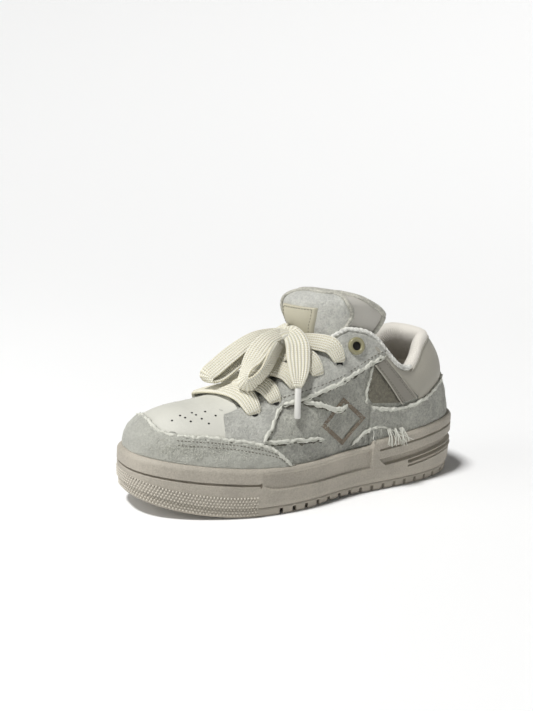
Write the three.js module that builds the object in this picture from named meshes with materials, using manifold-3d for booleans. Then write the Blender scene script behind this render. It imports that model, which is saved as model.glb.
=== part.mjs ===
import * as THREE from "three";
import Module from "manifold-3d";

const wasm = await Module();
wasm.setup();

// Left low shoe, millimetres: +X is the toe, +Y the outer side, the tread stands on Z = 0.
const length = 270;
const rimWidth = 5;
const wall = 2.4;
const gap = 0.3;
const overlayThick = 1.5;
const padThick = 7;
const treadHeight = 6.5;
const treadGroove = 2.6;
const treadPitch = 10.4;
const toeSpring = 12;
const heelBevel = 2;
const heelStep = 3;
const heelStepAt = 0.346;
const throatFront = 0.735;
const heelRake = 27;
const toeDrop = 20;
const insoleThick = 4.5;
const labelFrom = -17.5;
const labelTo = 10.5;
const laceWidth = 13;
const laceThick = 3;
const agletRadius = 2.3;
const sharedStations = [0.342, 0.35, 0.7, 0.722, 0.735];
const bindingRadius = 1.7;

// Plan of the sole: part of the length from the heel, half widths and the curve of the middle line.
const solePlan = [
  { at: 0, outer: 42.5, inner: 40.5, middle: 0 },
  { at: 0.16, outer: 42.5, inner: 40.5, middle: 0 },
  { at: 0.4, outer: 42, inner: 37.5, middle: 0.5 },
  { at: 0.58, outer: 51, inner: 47.5, middle: 0.5 },
  { at: 0.72, outer: 53, inner: 54.2, middle: 0 },
  { at: 0.88, outer: 50.5, inner: 48.5, middle: -2.5 },
  { at: 1, outer: 50, inner: 47, middle: -6 },
];

// Heights of the sole: foot bed inside the cup and top of the rim in front of the heel block.
const soleRise = [
  { at: 0, bed: 31, rim: 44.5 },
  { at: 0.2, bed: 27, rim: 38.8 },
  { at: 0.35, bed: 22.5, rim: 35.4 },
  { at: 0.55, bed: 19, rim: 33 },
  { at: 0.7, bed: 18.5, rim: 33.6 },
  { at: 0.85, bed: 22, rim: 36.8 },
  { at: 1, bed: 29, rim: 41.7 },
];

// Cross-sections of the upper: start of the curve, ridge height and squareness of the arch.
const upperForm = [
  { at: 0, base: 46, top: 150, square: 3.2 },
  { at: 0.2, base: 41, top: 150, square: 3.2 },
  { at: 0.33, base: 36.5, top: 142, square: 3 },
  { at: 0.43, base: 34.4, top: 126, square: 2.7 },
  { at: 0.5, base: 33.6, top: 111, square: 2.45 },
  { at: 0.57, base: 33.2, top: 98.5, square: 2.2 },
  { at: 0.637, base: 33.2, top: 87, square: 2 },
  { at: 0.703, base: 33.8, top: 78, square: 1.85 },
  { at: 0.76, base: 34.8, top: 73, square: 1.85 },
  { at: 0.82, base: 36.2, top: 70.5, square: 1.9 },
  { at: 0.9, base: 38.4, top: 68.5, square: 2 },
  { at: 1, base: 41.7, top: 66, square: 2.2 },
];

// Top edge: height of the ankle line, then half width of the lacing gap.
const collarLine = [
  { at: 0, height: 109.5 },
  { at: 0.05, height: 108.5 },
  { at: 0.1, height: 104 },
  { at: 0.15, height: 93.5 },
  { at: 0.18, height: 88.5 },
  { at: 0.2, height: 87.5 },
  { at: 0.235, height: 91 },
  { at: 0.28, height: 103 },
  { at: 0.3, height: 109 },
  { at: 0.32, height: 113 },
  { at: 0.34, height: 115.4 },
  { at: 0.36, height: 116.8 },
  { at: 0.4, height: 118 },
  { at: 0.44, height: 119.5 },
  { at: 0.48, height: 121 },
];
const throatLine = [
  { at: 0.38, half: 26 },
  { at: 0.43, half: 24 },
  { at: 0.5, half: 22 },
  { at: 0.6, half: 20 },
  { at: 0.735, half: 17 },
];

// Tongue: middle of the front face, half width, thickness, wrap of each side, tilt and turn.
const tongueForm = [
  { at: 0, x: 66, y: 3.5, z: 70.3, half: 13, thick: 3, outer: 4, inner: 4, tilt: 70, yaw: 0 },
  { at: 1, x: 52, y: 3.5, z: 70.5, half: 21, thick: 5, outer: 8, inner: 8, tilt: 65, yaw: 0 },
  { at: 2, x: 36, y: 3.5, z: 80, half: 24, thick: 6, outer: 14, inner: 14, tilt: 60, yaw: 0 },
  { at: 3, x: 22, y: 3.5, z: 89.5, half: 24, thick: 7, outer: 15, inner: 15, tilt: 55, yaw: 0 },
  { at: 4, x: 10, y: 3.5, z: 99.5, half: 20, thick: 9, outer: 14, inner: 14, tilt: 48, yaw: 3 },
  { at: 5, x: 3.2, y: 2.5, z: 110, half: 16.5, thick: 17, outer: 12, inner: 12, tilt: 28, yaw: 6 },
  { at: 6, x: 3.5, y: 1.5, z: 120, half: 24.5, thick: 31, outer: 20, inner: 8, tilt: 8, yaw: 16 },
  { at: 7, x: 3, y: 2.5, z: 127, half: 29, thick: 33, outer: 20, inner: 6, tilt: 0, yaw: 24 },
  { at: 8, x: 2, y: 3, z: 133, half: 30, thick: 29, outer: 17, inner: 5, tilt: 0, yaw: 26 },
  { at: 9, x: 0, y: 3.5, z: 138.5, half: 28, thick: 22, outer: 12, inner: 4, tilt: 0, yaw: 26 },
  { at: 10, x: -6, y: 3.5, z: 142.5, half: 22, thick: 13, outer: 7, inner: 2, tilt: 0, yaw: 24 },
  { at: 11, x: -11, y: 3.5, z: 144, half: 12, thick: 6, outer: 4, inner: 1, tilt: 0, yaw: 22 },
];

// Lacing: part of the half width of the holes, their place on each side, and where the crossing lies.
const laceRows = [
  { outer: 0.703, inner: 0.755, part: 0.58, cross: 0.73, lift: 2 },
  { outer: 0.643, inner: 0.665, part: 0.59, cross: 0.682, lift: 2.2 },
  { outer: 0.582, inner: 0.6, part: 0.615, cross: 0.628, lift: 2.6 },
  { outer: 0.52, inner: 0.535, part: 0.67, cross: 0.575, lift: 3.4 },
  { outer: 0.452, inner: 0.465, part: 0.74, cross: 0.54, lift: 4.4 },
];
const ringPlace = { outer: 0.387, inner: 0.395, part: 0.82 };

// Bow: middle line and width of each loop and end.
const bow = {
  loop_front: [
    { x: 23, y: 0, z: 115.5, width: 7 }, { x: 37, y: -3, z: 112, width: 12 },
    { x: 52, y: -6, z: 102, width: 15 }, { x: 65, y: -8, z: 91.5, width: 15 },
    { x: 70.5, y: -8.5, z: 86.5, width: 15 }, { x: 69, y: -8, z: 82.5, width: 15 },
    { x: 61, y: -7, z: 85.5, width: 15 }, { x: 49, y: -5, z: 95, width: 14 },
    { x: 37, y: -3, z: 102.5, width: 11 }, { x: 24, y: -1, z: 108.5, width: 7 },
  ],
  loop_side: [
    { x: 22, y: 9, z: 116.5, width: 7 }, { x: 33, y: 10, z: 113.5, width: 11 },
    { x: 40.5, y: 12, z: 108, width: 14 }, { x: 47.7, y: 15, z: 100.8, width: 15 },
    { x: 54.4, y: 18, z: 93.6, width: 15 }, { x: 57.3, y: 20.5, z: 88.5, width: 15 },
    { x: 55, y: 23.5, z: 86, width: 15 }, { x: 50.6, y: 25, z: 88.6, width: 15 },
    { x: 45.7, y: 25.5, z: 92.8, width: 15 }, { x: 39.8, y: 23, z: 98.4, width: 14 },
    { x: 32.6, y: 18, z: 105.2, width: 11 }, { x: 25, y: 12, z: 109.5, width: 7 },
  ],
  end_outer: [
    { x: 16.5, y: 12, z: 117.5, width: 9 }, { x: 16, y: 21, z: 111.5, width: 14 },
    { x: 18, y: 26.5, z: 103.5, width: 15 }, { x: 21, y: 33, z: 94.5, width: 13 },
    { x: 24, y: 38, z: 87.5, width: 8 }, { x: 24.8, y: 39.2, z: 85.4, width: 5 },
  ],
  end_inner: [
    { x: 16.5, y: -2, z: 117.5, width: 9 }, { x: 15, y: -15, z: 112, width: 14 },
    { x: 17, y: -23, z: 105.5, width: 15 }, { x: 19, y: -29, z: 95, width: 13 },
    { x: 21, y: -34.5, z: 87.5, width: 8 }, { x: 21.6, y: -35.7, z: 85.4, width: 5 },
  ],
};
const knotCentre = { x: 19, y: 5, z: 113 };
const knotHalf = { x: 9, y: 11, z: 7 };
const aglets = {
  aglet_outer: [{ x: 24.9, y: 39.5, z: 84.6 }, { x: 27.4, y: 44, z: 64.5 }],
  aglet_inner: [{ x: 21.7, y: -36, z: 84.6 }, { x: 23.6, y: -41, z: 64.5 }],
};

// Smooth curve through one column of a table.
function read(table, name, at) {
  let i = 0;
  while (i < table.length - 2 && at > table[i + 1].at) i++;
  const slope = (k) => {
    const a = table[Math.max(k - 1, 0)];
    const b = table[Math.min(k + 1, table.length - 1)];
    return (b[name] - a[name]) / (b.at - a.at);
  };
  const width = table[i + 1].at - table[i].at;
  const t = (at - table[i].at) / width;
  const ease = t * t * (3 - 2 * t);
  const bend = slope(i) * t * (1 - t) ** 2 - slope(i + 1) * t * t * (1 - t);
  return table[i][name] * (1 - ease) + table[i + 1][name] * ease + width * bend;
}

// Rounding of the plan towards both ends.
function cap(at) {
  const power = at < 0.5 ? 3 : 2.6;
  return Math.max(0, 1 - Math.abs(2 * at - 1) ** power) ** (1 / power);
}

const middleAt = (at) => read(solePlan, "middle", at);
const halfAt = (side, at, inset) => (read(solePlan, side > 0 ? "outer" : "inner", at) - inset) * cap(at);
const alongAt = (at, inset) => (at - 0.5) * (length - 2 * inset);
const planPoint = (side, at, inset, z) => [
  alongAt(at, inset), middleAt(at) + side * halfAt(side, at, inset), z,
];

const floorAt = (at) =>
  toeSpring * Math.max(0, (at - 0.72) / 0.28) ** 2 + heelBevel * Math.max(0, (0.06 - at) / 0.06) ** 2;
const bedAt = (at) => read(soleRise, "bed", at);
const rimAt = (at) =>
  read(soleRise, "rim", at) + heelStep * Math.min(1, Math.max(0, (heelStepAt + 0.004 - at) / 0.008));

// Stations from heel to toe, closer at both ends, with extra ones where a form changes quickly.
function stations(steps, extra) {
  const even = Array.from({ length: steps + 1 }, (_, i) => (1 - Math.cos((Math.PI * i) / steps)) / 2);
  const kept = even.filter((at) => extra.every((other) => Math.abs(other - at) > 0.012));
  return [...kept, ...extra].sort((a, b) => a - b);
}

// Round trip: along the outer side to the toe and back along the inner side.
function around(list) {
  const outer = list.map((at) => ({ side: 1, at }));
  const inner = list.slice(1, -1).reverse().map((at) => ({ side: -1, at }));
  return [...outer, ...inner];
}

const quad = (a, b, c, d) => [[a, b, c], [a, c, d]];

// Closed body from points and triangles, joined where points coincide.
function solid(points, faces) {
  const known = new Map();
  const vertices = [];
  const index = points.map((p) => {
    const key = p.map((v) => Math.round(v * 2000)).join();
    if (!known.has(key)) {
      known.set(key, vertices.length / 3);
      vertices.push(...p);
    }
    return known.get(key);
  });
  const at = (i) => new THREE.Vector3().fromArray(vertices, 3 * i);
  const kept = faces.map((f) => f.map((i) => index[i])).filter((f) => new Set(f).size === 3);
  const volume = kept.reduce((sum, [a, b, c]) => sum + at(a).dot(at(b).cross(at(c))), 0);
  if (volume < 0) kept.forEach((f) => f.reverse());
  const vertProperties = new Float32Array(vertices);
  const triVerts = new Uint32Array(kept.flat());
  return new wasm.Manifold(new wasm.Mesh({ numProp: 3, vertProperties, triVerts }));
}

// Rings of the round trip stacked into a body; both ends close across the width.
function stack(rings) {
  const n = rings[0].length;
  const faces = [];
  for (let r = 0; r + 1 < rings.length; r++) {
    for (let i = 0; i < n; i++) {
      const j = (i + 1) % n;
      faces.push(...quad(r * n + i, r * n + j, (r + 1) * n + j, (r + 1) * n + i));
    }
  }
  const last = (rings.length - 1) * n;
  for (let i = 0; i < n / 2; i++) {
    const mates = [i, i + 1, (n - i - 1) % n, (n - i) % n];
    const [a, b, c, d] = mates;
    faces.push(...quad(d, c, b, a), ...quad(last + a, last + b, last + c, last + d));
  }
  return solid(rings.flat(), faces);
}

// Body through closed sections, each end closed by strips between its two sides.
function sweep(sections) {
  const n = sections[0].length;
  const points = sections.flat();
  const faces = [];
  for (let r = 0; r + 1 < sections.length; r++) {
    for (let i = 0; i < n; i++) {
      const j = (i + 1) % n;
      faces.push(...quad(r * n + i, r * n + j, (r + 1) * n + j, (r + 1) * n + i));
    }
  }
  const end = points.length - 1;
  for (let k = 0; 2 * k + 2 < n; k++) {
    faces.push(...quad(k + 1, k, n - 1 - k, n - 2 - k));
    faces.push(...quad(end - n + 1 + k, end - n + 2 + k, end - 1 - k, end - k));
  }
  return solid(points, faces);
}

// Body of a ready geometry.
function bodyOf(geometry) {
  const flat = geometry.index ? geometry.toNonIndexed() : geometry;
  const position = flat.getAttribute("position");
  const points = Array.from({ length: position.count }, (_, i) => [
    position.getX(i), position.getY(i), position.getZ(i),
  ]);
  const faces = Array.from({ length: position.count / 3 }, (_, i) => [3 * i, 3 * i + 1, 3 * i + 2]);
  return solid(points, faces);
}

// Prism over an outline seen from the side, from one width to another.
function sidePrism(outline, from, to) {
  const shape = new THREE.Shape(outline.map(([x, z]) => new THREE.Vector2(x, z)));
  const geometry = new THREE.ExtrudeGeometry(shape, { depth: to - from, bevelEnabled: false });
  return bodyOf(geometry.rotateX(Math.PI / 2).translate(0, to, 0));
}

// Prism over an outline seen from above.
function topPrism(outline, from, to) {
  const shape = new THREE.Shape(outline.map(([x, y]) => new THREE.Vector2(x, y)));
  const geometry = new THREE.ExtrudeGeometry(shape, { depth: to - from, bevelEnabled: false });
  return bodyOf(geometry.translate(0, 0, from));
}

// Open curve through a few corner points.
function eased(points, count) {
  const curve = new THREE.SplineCurve(points.map(([x, z]) => new THREE.Vector2(x, z)));
  return curve.getPoints(count).map((p) => [p.x, p.y]);
}

// Sole.
const soleLoop = around(stations(20, sharedStations));
const soleRing = (inset, height) => soleLoop.map(({ side, at }) => planPoint(side, at, inset, height(at)));

// Band round the side of the sole between two height lines, cut into it or standing on it.
function band(path, low, high, deep, proud) {
  return sweep(path.map(({ side, at }) => [
    planPoint(side, at, deep, low(at)),
    planPoint(side, at, -proud, low(at)),
    planPoint(side, at, -proud, high(at)),
    planPoint(side, at, deep, high(at)),
  ]));
}
const spread = (from, to, count) =>
  Array.from({ length: count + 1 }, (_, i) => from + ((to - from) * i) / count);
const endwise = (from, to, count) =>
  spread(Math.acos(1 - 2 * from), Math.acos(1 - 2 * to), count).map((turn) => (1 - Math.cos(turn)) / 2);
const bothSides = (list) => [
  ...list.map((at) => ({ side: 1, at })), ...list.slice(0, -1).reverse().map((at) => ({ side: -1, at })),
];
const roundToe = (from, count) => bothSides(endwise(from, 1, count));
const roundHeel = (from, count) => bothSides(endwise(from, 0, count));
const backHalf = (until) => bothSides(stations(20, sharedStations).filter((at) => at < until).reverse());
const oneSide = (side, from, to, count) => spread(from, to, count).map((at) => ({ side, at }));
const below = (drop) => (at) => rimAt(at) - drop;

let outsole = stack([
  soleRing(3.4, floorAt),
  soleRing(1.9, (at) => floorAt(at) + 1.4),
  soleRing(1.6, (at) => floorAt(at) + treadHeight),
]);
const archHollow = sidePrism(eased([[-38, -1], [-30, 1.2], [-14, 2.2], [2, 1.2], [10, -1]], 12), -80, 80);
outsole = outsole.subtract(archHollow);
for (let x = -length / 2 + 9; x < 62; x += treadPitch) {
  const half = treadGroove / 2;
  const cut = [[x - half, -1], [x + half, -1], [x + half, 4.6], [x - half, 4.6]];
  outsole = outsole.subtract(sidePrism(cut, -90, 90));
}

let midsole = stack([
  soleRing(1.6, (at) => floorAt(at) + treadHeight + gap),
  soleRing(0.5, (at) => floorAt(at) + treadHeight + 4),
  soleRing(0, (at) => 0.4 * (floorAt(at) + treadHeight) + 0.6 * rimAt(at)),
  soleRing(0.3, below(4)),
  soleRing(0.9, below(1.2)),
  soleRing(2.2, rimAt),
  soleRing(rimWidth - gap, rimAt),
  soleRing(rimWidth - gap, bedAt),
]);
const panelLow = (at) => 18.6 + 5 * Math.max(0, (at - 0.66) / 0.05) ** 2;
const cuts = [
  band(roundToe(0.71, 7), below(11.2), below(10), 1.6, 4),
  band(oneSide(1, 0.352, 0.705, 5), panelLow, below(3.4), 1.3, 4),
  band(oneSide(-1, 0.352, 0.705, 5), panelLow, below(3.4), 1.3, 4),
  band(roundHeel(0.325, 5), below(8), below(6.9), 1.3, 4),
  band(roundHeel(0.31, 5), below(20), below(16), 2.2, 4),
  band(roundHeel(0.22, 5), below(25.4), below(22.6), 2, 4),
];
for (const cut of cuts) midsole = midsole.subtract(cut);

const insoleRing = (inset, lift) =>
  soleLoop.map(({ side, at }) => planPoint(side, at, inset, bedAt(at) + lift));
const insoleInset = rimWidth + wall + 0.8;
const insole = stack([
  insoleRing(insoleInset, gap),
  insoleRing(insoleInset, insoleThick),
  insoleRing(insoleInset + 12, insoleThick - 1),
]);

// Upper: an arch over each station of the sole, leaning forward above the heel and rounded at the toe.
function ridgeAt(at) {
  const t = Math.max(0, (at - 0.86) / 0.14);
  return read(upperForm, "top", at) - toeDrop * (1 - Math.sqrt(Math.max(0, 1 - t * t)));
}
const leanAt = (at, z) =>
  heelRake * Math.max(0, (z - 48) / 65) ** 1.25 * Math.max(0, 1 - at / 0.5) ** 1.5;

function formPoint(side, at, angle) {
  const base = read(upperForm, "base", at);
  const power = 2 / read(upperForm, "square", at);
  const y = middleAt(at) + side * halfAt(side, at, rimWidth) * Math.max(0, Math.cos(angle)) ** power;
  const z = base + (ridgeAt(at) - base) * Math.sin(angle) ** power;
  return [alongAt(at, rimWidth) + leanAt(at, z), y, z];
}

// Angle of the arch at a distance from the middle line.
function angleAtHalf(side, at, half) {
  const part = Math.min(1, half / halfAt(side, at, rimWidth));
  return Math.acos(part ** (read(upperForm, "square", at) / 2));
}

// Angle of the arch at the ankle line or the lacing gap.
function edgeAngle(side, at) {
  if (at >= throatFront) return Math.PI / 2;
  const base = read(upperForm, "base", at);
  const height = at < 0.48 ? read(collarLine, "height", at) : 999;
  const rise = Math.min(1, (height - base) / (ridgeAt(at) - base));
  const collar = Math.asin(rise ** (read(upperForm, "square", at) / 2));
  if (at < 0.38) return collar;
  const round = Math.sqrt(1 - Math.max(0, (at - 0.64) / (throatFront - 0.64)) ** 2);
  return Math.min(collar, angleAtHalf(side, at, read(throatLine, "half", at) * round));
}

const rows = 7;
const upperLoop = soleLoop;
function skin({ side, at }, row) {
  if (row === 0) {
    const [x, y] = formPoint(side, at, 0);
    return [x, y, bedAt(at) + gap];
  }
  return formPoint(side, at, (edgeAngle(side, at) * (row - 1)) / (rows - 1));
}

// Layer that follows the upper between two distances from its surface.
function shell(inside, outside, firstRow) {
  const n = rows + 1 - firstRow;
  const base = upperLoop.flatMap((place) => Array.from({ length: n }, (_, r) => skin(place, r + firstRow)));
  const keys = base.map((p) => p.map((v) => Math.round(v * 2000)).join());
  const normals = new Map(keys.map((key) => [key, new THREE.Vector3()]));
  const outerFaces = [];
  const rimFaces = [];
  const count = base.length;
  upperLoop.forEach((place, j) => {
    const next = (j + 1) % upperLoop.length;
    for (let r = 0; r + 1 < n; r++) {
      outerFaces.push([j * n + r, j * n + r + 1, next * n + r + 1, next * n + r]);
    }
    const [a, d] = [j * n, next * n];
    rimFaces.push(...quad(a, d, d + count, a + count));
    if (place.at >= throatFront && upperLoop[next].at >= throatFront) return;
    const [b, c] = [j * n + n - 1, next * n + n - 1];
    rimFaces.push(...quad(c, b, b + count, c + count));
  });
  for (const face of outerFaces) {
    const [a, b, c, d] = face.map((i) => new THREE.Vector3(...base[i]));
    const normal = b.clone().sub(d).cross(c.clone().sub(a));
    face.forEach((i) => normals.get(keys[i]).add(normal));
  }
  const moved = (distance) => base.map((p, i) => {
    const normal = normals.get(keys[i]).clone().normalize().multiplyScalar(distance);
    return [p[0] + normal.x, p[1] + normal.y, p[2] + normal.z];
  });
  const faces = [
    ...outerFaces.flatMap((f) => quad(...f)),
    ...outerFaces.flatMap(([a, b, c, d]) => quad(a + count, d + count, c + count, b + count)),
    ...rimFaces,
  ];
  return solid([...moved(outside), ...moved(inside)], faces);
}

let upper = shell(-wall, 0, 0);

// Outward direction of the upper.
function outward(side, at, angle) {
  const step = 0.004;
  const along = new THREE.Vector3(...formPoint(side, Math.min(1, at + step), angle))
    .sub(new THREE.Vector3(...formPoint(side, Math.max(0, at - step), angle)));
  const up = new THREE.Vector3(...formPoint(side, at, Math.min(Math.PI / 2, angle + step)))
    .sub(new THREE.Vector3(...formPoint(side, at, Math.max(0.001, angle - step))));
  return up.cross(along).multiplyScalar(side).normalize();
}

// Overlays: pieces of one thicker layer cut out by side outlines, kept off the rim of the sole.
const layer = shell(gap, gap + overlayThick, 1);
const rimList = stations(20, sharedStations);
const rimOutline = rimList.map((at) => [alongAt(at, rimWidth), rimAt(at) + 0.7]);
const rimShadow = [[-150, rimAt(0) + 0.7], ...rimOutline, [150, rimAt(1) + 0.7], [150, 0], [-150, 0]];
const rimGuard = sidePrism(rimShadow, -90, 90);
const laidOver = layer.subtract(rimGuard);

const mudguardLine = [
  [119, 66], [117, 58.6], [106.5, 55.6], [89, 54.4], [73.8, 52.6],
  [58, 49.6], [45, 44.4], [34, 34], [30, 24],
];
const mudguardEdge = eased(mudguardLine, 10);
const mudguardOutline = [[150, 90], [119, 90], ...mudguardEdge, [150, 10]];
const eyestayEdge = eased([[-54, 101.6], [-43, 98.4], [-28.5, 91.8], [-11, 84.4], [14, 77.4], [33, 72]], 7);
const eyestayFoot = [[50.5, 50], [60, 47], [72, 48], [77, 54], [75.5, 66], [74, 150]];
const eyestayOutline = [[-54, 150], ...eyestayEdge, ...eyestayFoot];
const counterLine = [
  [-38, 65.4], [-43, 63], [-56, 61], [-73, 60.4], [-90.5, 64.6], [-107, 72.5], [-122, 77], [-150, 80],
];
const counterEdge = eased(counterLine, 10);
const counterOutline = [...counterEdge, [-150, 10], [-38, 10]];
const strapOutline = [[-41.5, 94.8], [-50, 98], [-81, 66.5], [-68, 64.4]];
const vampStrip = topPrism([[44, -21], [90, -24], [90, 24], [44, 21]], 40, 150);

const mudguard = laidOver.intersect(sidePrism(mudguardOutline, -90, 90));
const heelCounter = laidOver.intersect(sidePrism(counterOutline, -90, 90));
const mudguardRoom = sidePrism(mudguardOutline.map(([x, z]) => [x, z + 0.5]), -90, 90);
const eyestays = [1, -1].map((side) => {
  const region = side > 0 ? sidePrism(eyestayOutline, 4, 90) : sidePrism(eyestayOutline, -90, -4);
  return laidOver.intersect(region).subtract(vampStrip).subtract(mudguardRoom);
});
const straps = [1, -1].map((side) =>
  laidOver.intersect(side > 0 ? sidePrism(strapOutline, 4, 90) : sidePrism(strapOutline, -90, -4)));

// Lace holes and the larger ring holes through eyestay and upper.
const sideName = (side) => (side > 0 ? "outer" : "inner");
function placeOn(side, at, half, lift) {
  const angle = angleAtHalf(side, at, half);
  const normal = outward(side, at, angle);
  const point = new THREE.Vector3(...formPoint(side, at, angle)).addScaledVector(normal, lift);
  return { point, normal };
}
function holePlace(side, row, lift) {
  const at = row[sideName(side)];
  return placeOn(side, at, row.part * halfAt(side, at, rimWidth), lift);
}
function standOn(geometry, { point, normal }) {
  const turn = new THREE.Quaternion().setFromUnitVectors(new THREE.Vector3(0, 1, 0), normal);
  return geometry.applyQuaternion(turn).translate(point.x, point.y, point.z);
}
[1, -1].forEach((side, i) => {
  for (const row of [...laceRows, ringPlace]) {
    const radius = row === ringPlace ? 3 : 2.4;
    const pin = bodyOf(standOn(new THREE.CylinderGeometry(radius, radius, 14, 6), holePlace(side, row, 0)));
    upper = upper.subtract(pin);
    eyestays[i] = eyestays[i].subtract(pin);
  }
});
const ringProfile = [[3.2, 0], [6.4, 0], [6.4, 0.6], [5.3, 1.7], [4.1, 1.7], [3.2, 0.8], [3.2, 0]];
const rings = [1, -1].map((side) => {
  const turned = new THREE.LatheGeometry(ringProfile.map(([r, h]) => new THREE.Vector2(r, h)), 12);
  return bodyOf(standOn(turned, holePlace(side, ringPlace, gap + overlayThick + (side > 0 ? 0.1 : 0.4))));
});

// Padded ankle lining inside the top edge.
const padProfile = [
  { along: 0.6, depth: 0 }, { along: 0.8, depth: 0 }, { along: 0.965, depth: 0 },
  { along: 1.03, depth: 0.4 }, { along: 1.05, depth: 0.35 * padThick },
  { along: 1.03, depth: 0.75 * padThick },
  { along: 0.95, depth: padThick }, { along: 0.8, depth: 0.9 * padThick },
  { along: 0.66, depth: 0.45 * padThick },
];
const lining = sweep(backHalf(0.325).map(({ side, at }) => padProfile.map(({ along, depth }) => {
  const angle = edgeAngle(side, at) * along;
  const near = Math.max(at, 0.0006);
  const normal = outward(side, near, angle);
  if (at === 0) normal.y = 0;
  const point = new THREE.Vector3(...formPoint(side, at, angle));
  point.addScaledVector(normal.normalize(), -(wall + 0.5 + depth));
  return point.toArray();
})));

// Rolled binding along the ankle line and the start of the lacing gap.
const binding = sweep(backHalf(0.47).map(({ side, at }) => {
  const angle = edgeAngle(side, at);
  const normal = outward(side, Math.max(at, 0.0006), angle);
  if (at === 0) normal.y = 0;
  normal.normalize();
  const edge = new THREE.Vector3(...formPoint(side, at, angle));
  const rise = new THREE.Vector3(...formPoint(side, at, angle + 0.01)).sub(edge).normalize();
  const centre = edge.addScaledVector(normal, -0.3).addScaledVector(rise, bindingRadius + 0.9);
  return Array.from({ length: 6 }, (_, k) => {
    const turn = (Math.PI * k) / 3;
    return centre.clone().addScaledVector(normal, bindingRadius * Math.cos(turn))
      .addScaledVector(rise, bindingRadius * Math.sin(turn)).toArray();
  });
}));

// Tongue: padded sections up the path of its front face.
function tonguePoint(v, across, depth) {
  const [x, y, z, half, tilt, yaw] =
    ["x", "y", "z", "half", "tilt", "yaw"].map((name) => read(tongueForm, name, v));
  const wrap = read(tongueForm, across < 0 ? "inner" : "outer", v);
  const [lean, turn] = [THREE.MathUtils.degToRad(tilt), THREE.MathUtils.degToRad(yaw)];
  const back = depth + wrap * across * across;
  return [
    x - half * across * Math.sin(turn) - back * Math.cos(lean),
    y + half * across * Math.cos(turn),
    z - back * Math.sin(lean),
  ];
}
const tongue = sweep(tongueForm.map(({ at, thick }) => Array.from({ length: 16 }, (_, k) => {
  const turn = (2 * Math.PI * k) / 16;
  const across = Math.sign(Math.cos(turn)) * Math.abs(Math.cos(turn)) ** 0.8;
  const depth = thick * (0.5 - 0.5 * Math.sign(Math.sin(turn)) * Math.abs(Math.sin(turn)) ** 0.7);
  return tonguePoint(at, across, depth);
})));

// Patch sewn on the front of the tongue.
const label = sweep(spread(5.7, 8.1, 3).map((v) => {
  const half = read(tongueForm, "half", v);
  const line = spread(labelFrom / half, labelTo / half, 5);
  const thick = read(tongueForm, "thick", v);
  const front = (across) => thick * (0.5 - 0.5 * (1 - Math.abs(across) ** 2.5) ** 0.35);
  return [
    ...line.map((across) => tonguePoint(v, across, front(across) - 2.8)),
    ...line.reverse().map((across) => tonguePoint(v, across, front(across) - 1.8)),
  ];
}));

// Flat lace along a line of points, broad side towards a given direction.
function ribbon(points, widths, facing, count) {
  const curve = new THREE.CatmullRomCurve3(points);
  const sections = [];
  for (let i = 0; i <= count; i++) {
    const along = curve.getTangent(i / count);
    const face = facing(i / count, along);
    face.addScaledVector(along, -face.dot(along)).normalize();
    const across = along.clone().cross(face);
    const centre = curve.getPoint(i / count);
    const half = widths(i / count) / 2;
    const [w, h] = [half, laceThick / 2];
    const corners = [[-w, 0], [-0.8 * w, -h], [0.8 * w, -h], [w, 0], [0.8 * w, h], [-0.8 * w, h]];
    sections.push(corners.map(([a, b]) =>
      centre.clone().addScaledVector(across, a).addScaledVector(face, b).toArray()));
  }
  return sweep(sections);
}

// Crossings of the lace over tongue and eyestays, joined into one body.
function laceStrand(side, row, straight) {
  const from = row[sideName(side)];
  const reach = row.part * halfAt(side, from, rimWidth);
  const clear = gap + overlayThick + 1 + laceThick / 2;
  const end = straight ? row[sideName(-side)] : row.cross + 0.3 * (row.cross - from);
  const middle = straight ? (from + end) / 2 : row.cross;
  const far = straight ? row.part * halfAt(-side, end, rimWidth) : 12;
  const stops = [
    placeOn(side, from, reach + 2, clear), placeOn(side, from * 0.75 + middle * 0.25, 20, clear + 0.5),
    placeOn(side, middle, 2, row.lift + laceThick / 2),
    placeOn(-side, end * 0.9 + middle * 0.1, far * 0.9, straight ? clear + 0.5 : row.lift + 1),
    placeOn(-side, end, far + 2, straight ? clear : row.lift + 1),
  ];
  const normals = new THREE.CatmullRomCurve3(stops.map(({ normal }) => normal));
  return ribbon(stops.map(({ point }) => point), () => laceWidth, (t) => normals.getPoint(t), 5);
}
let laceCrossings = laceStrand(1, laceRows[0], true);
for (const row of laceRows.slice(1)) {
  for (const side of [1, -1]) laceCrossings = laceCrossings.add(laceStrand(side, row, false));
}

// Bow: loops and ends as flat cords, a knot, and a sleeve on each end.
const sideLoopTurn = new THREE.CatmullRomCurve3([
  [0.35, 0.6, 0.72], [0.4, 0.5, 0.77], [0.42, 0.4, 0.81], [0.48, 0.15, 0.87], [0.75, -0.2, 0.63],
  [0.9, 0, 0.2], [0.6, 0.5, -0.6], [0.1, 0.7, -0.7], [-0.2, 0.8, -0.5], [-0.2, 0.9, -0.35],
  [-0.1, 0.95, -0.2], [0, 0.95, 0.2],
].map((way) => new THREE.Vector3(...way)));
const bowFacing = {
  loop_front: () => new THREE.Vector3(0.45, 0.3, 0.85),
  loop_side: (t) => sideLoopTurn.getPoint(t),
  end_outer: () => new THREE.Vector3(0.35, 0.7, 0.6),
  end_inner: () => new THREE.Vector3(0.35, -0.7, 0.6),
};
const knotBall = (grow) => bodyOf(new THREE.SphereGeometry(1, 10, 7)
  .scale(knotHalf.x + grow, knotHalf.y + grow, knotHalf.z + grow)
  .translate(knotCentre.x, knotCentre.y, knotCentre.z));
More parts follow.
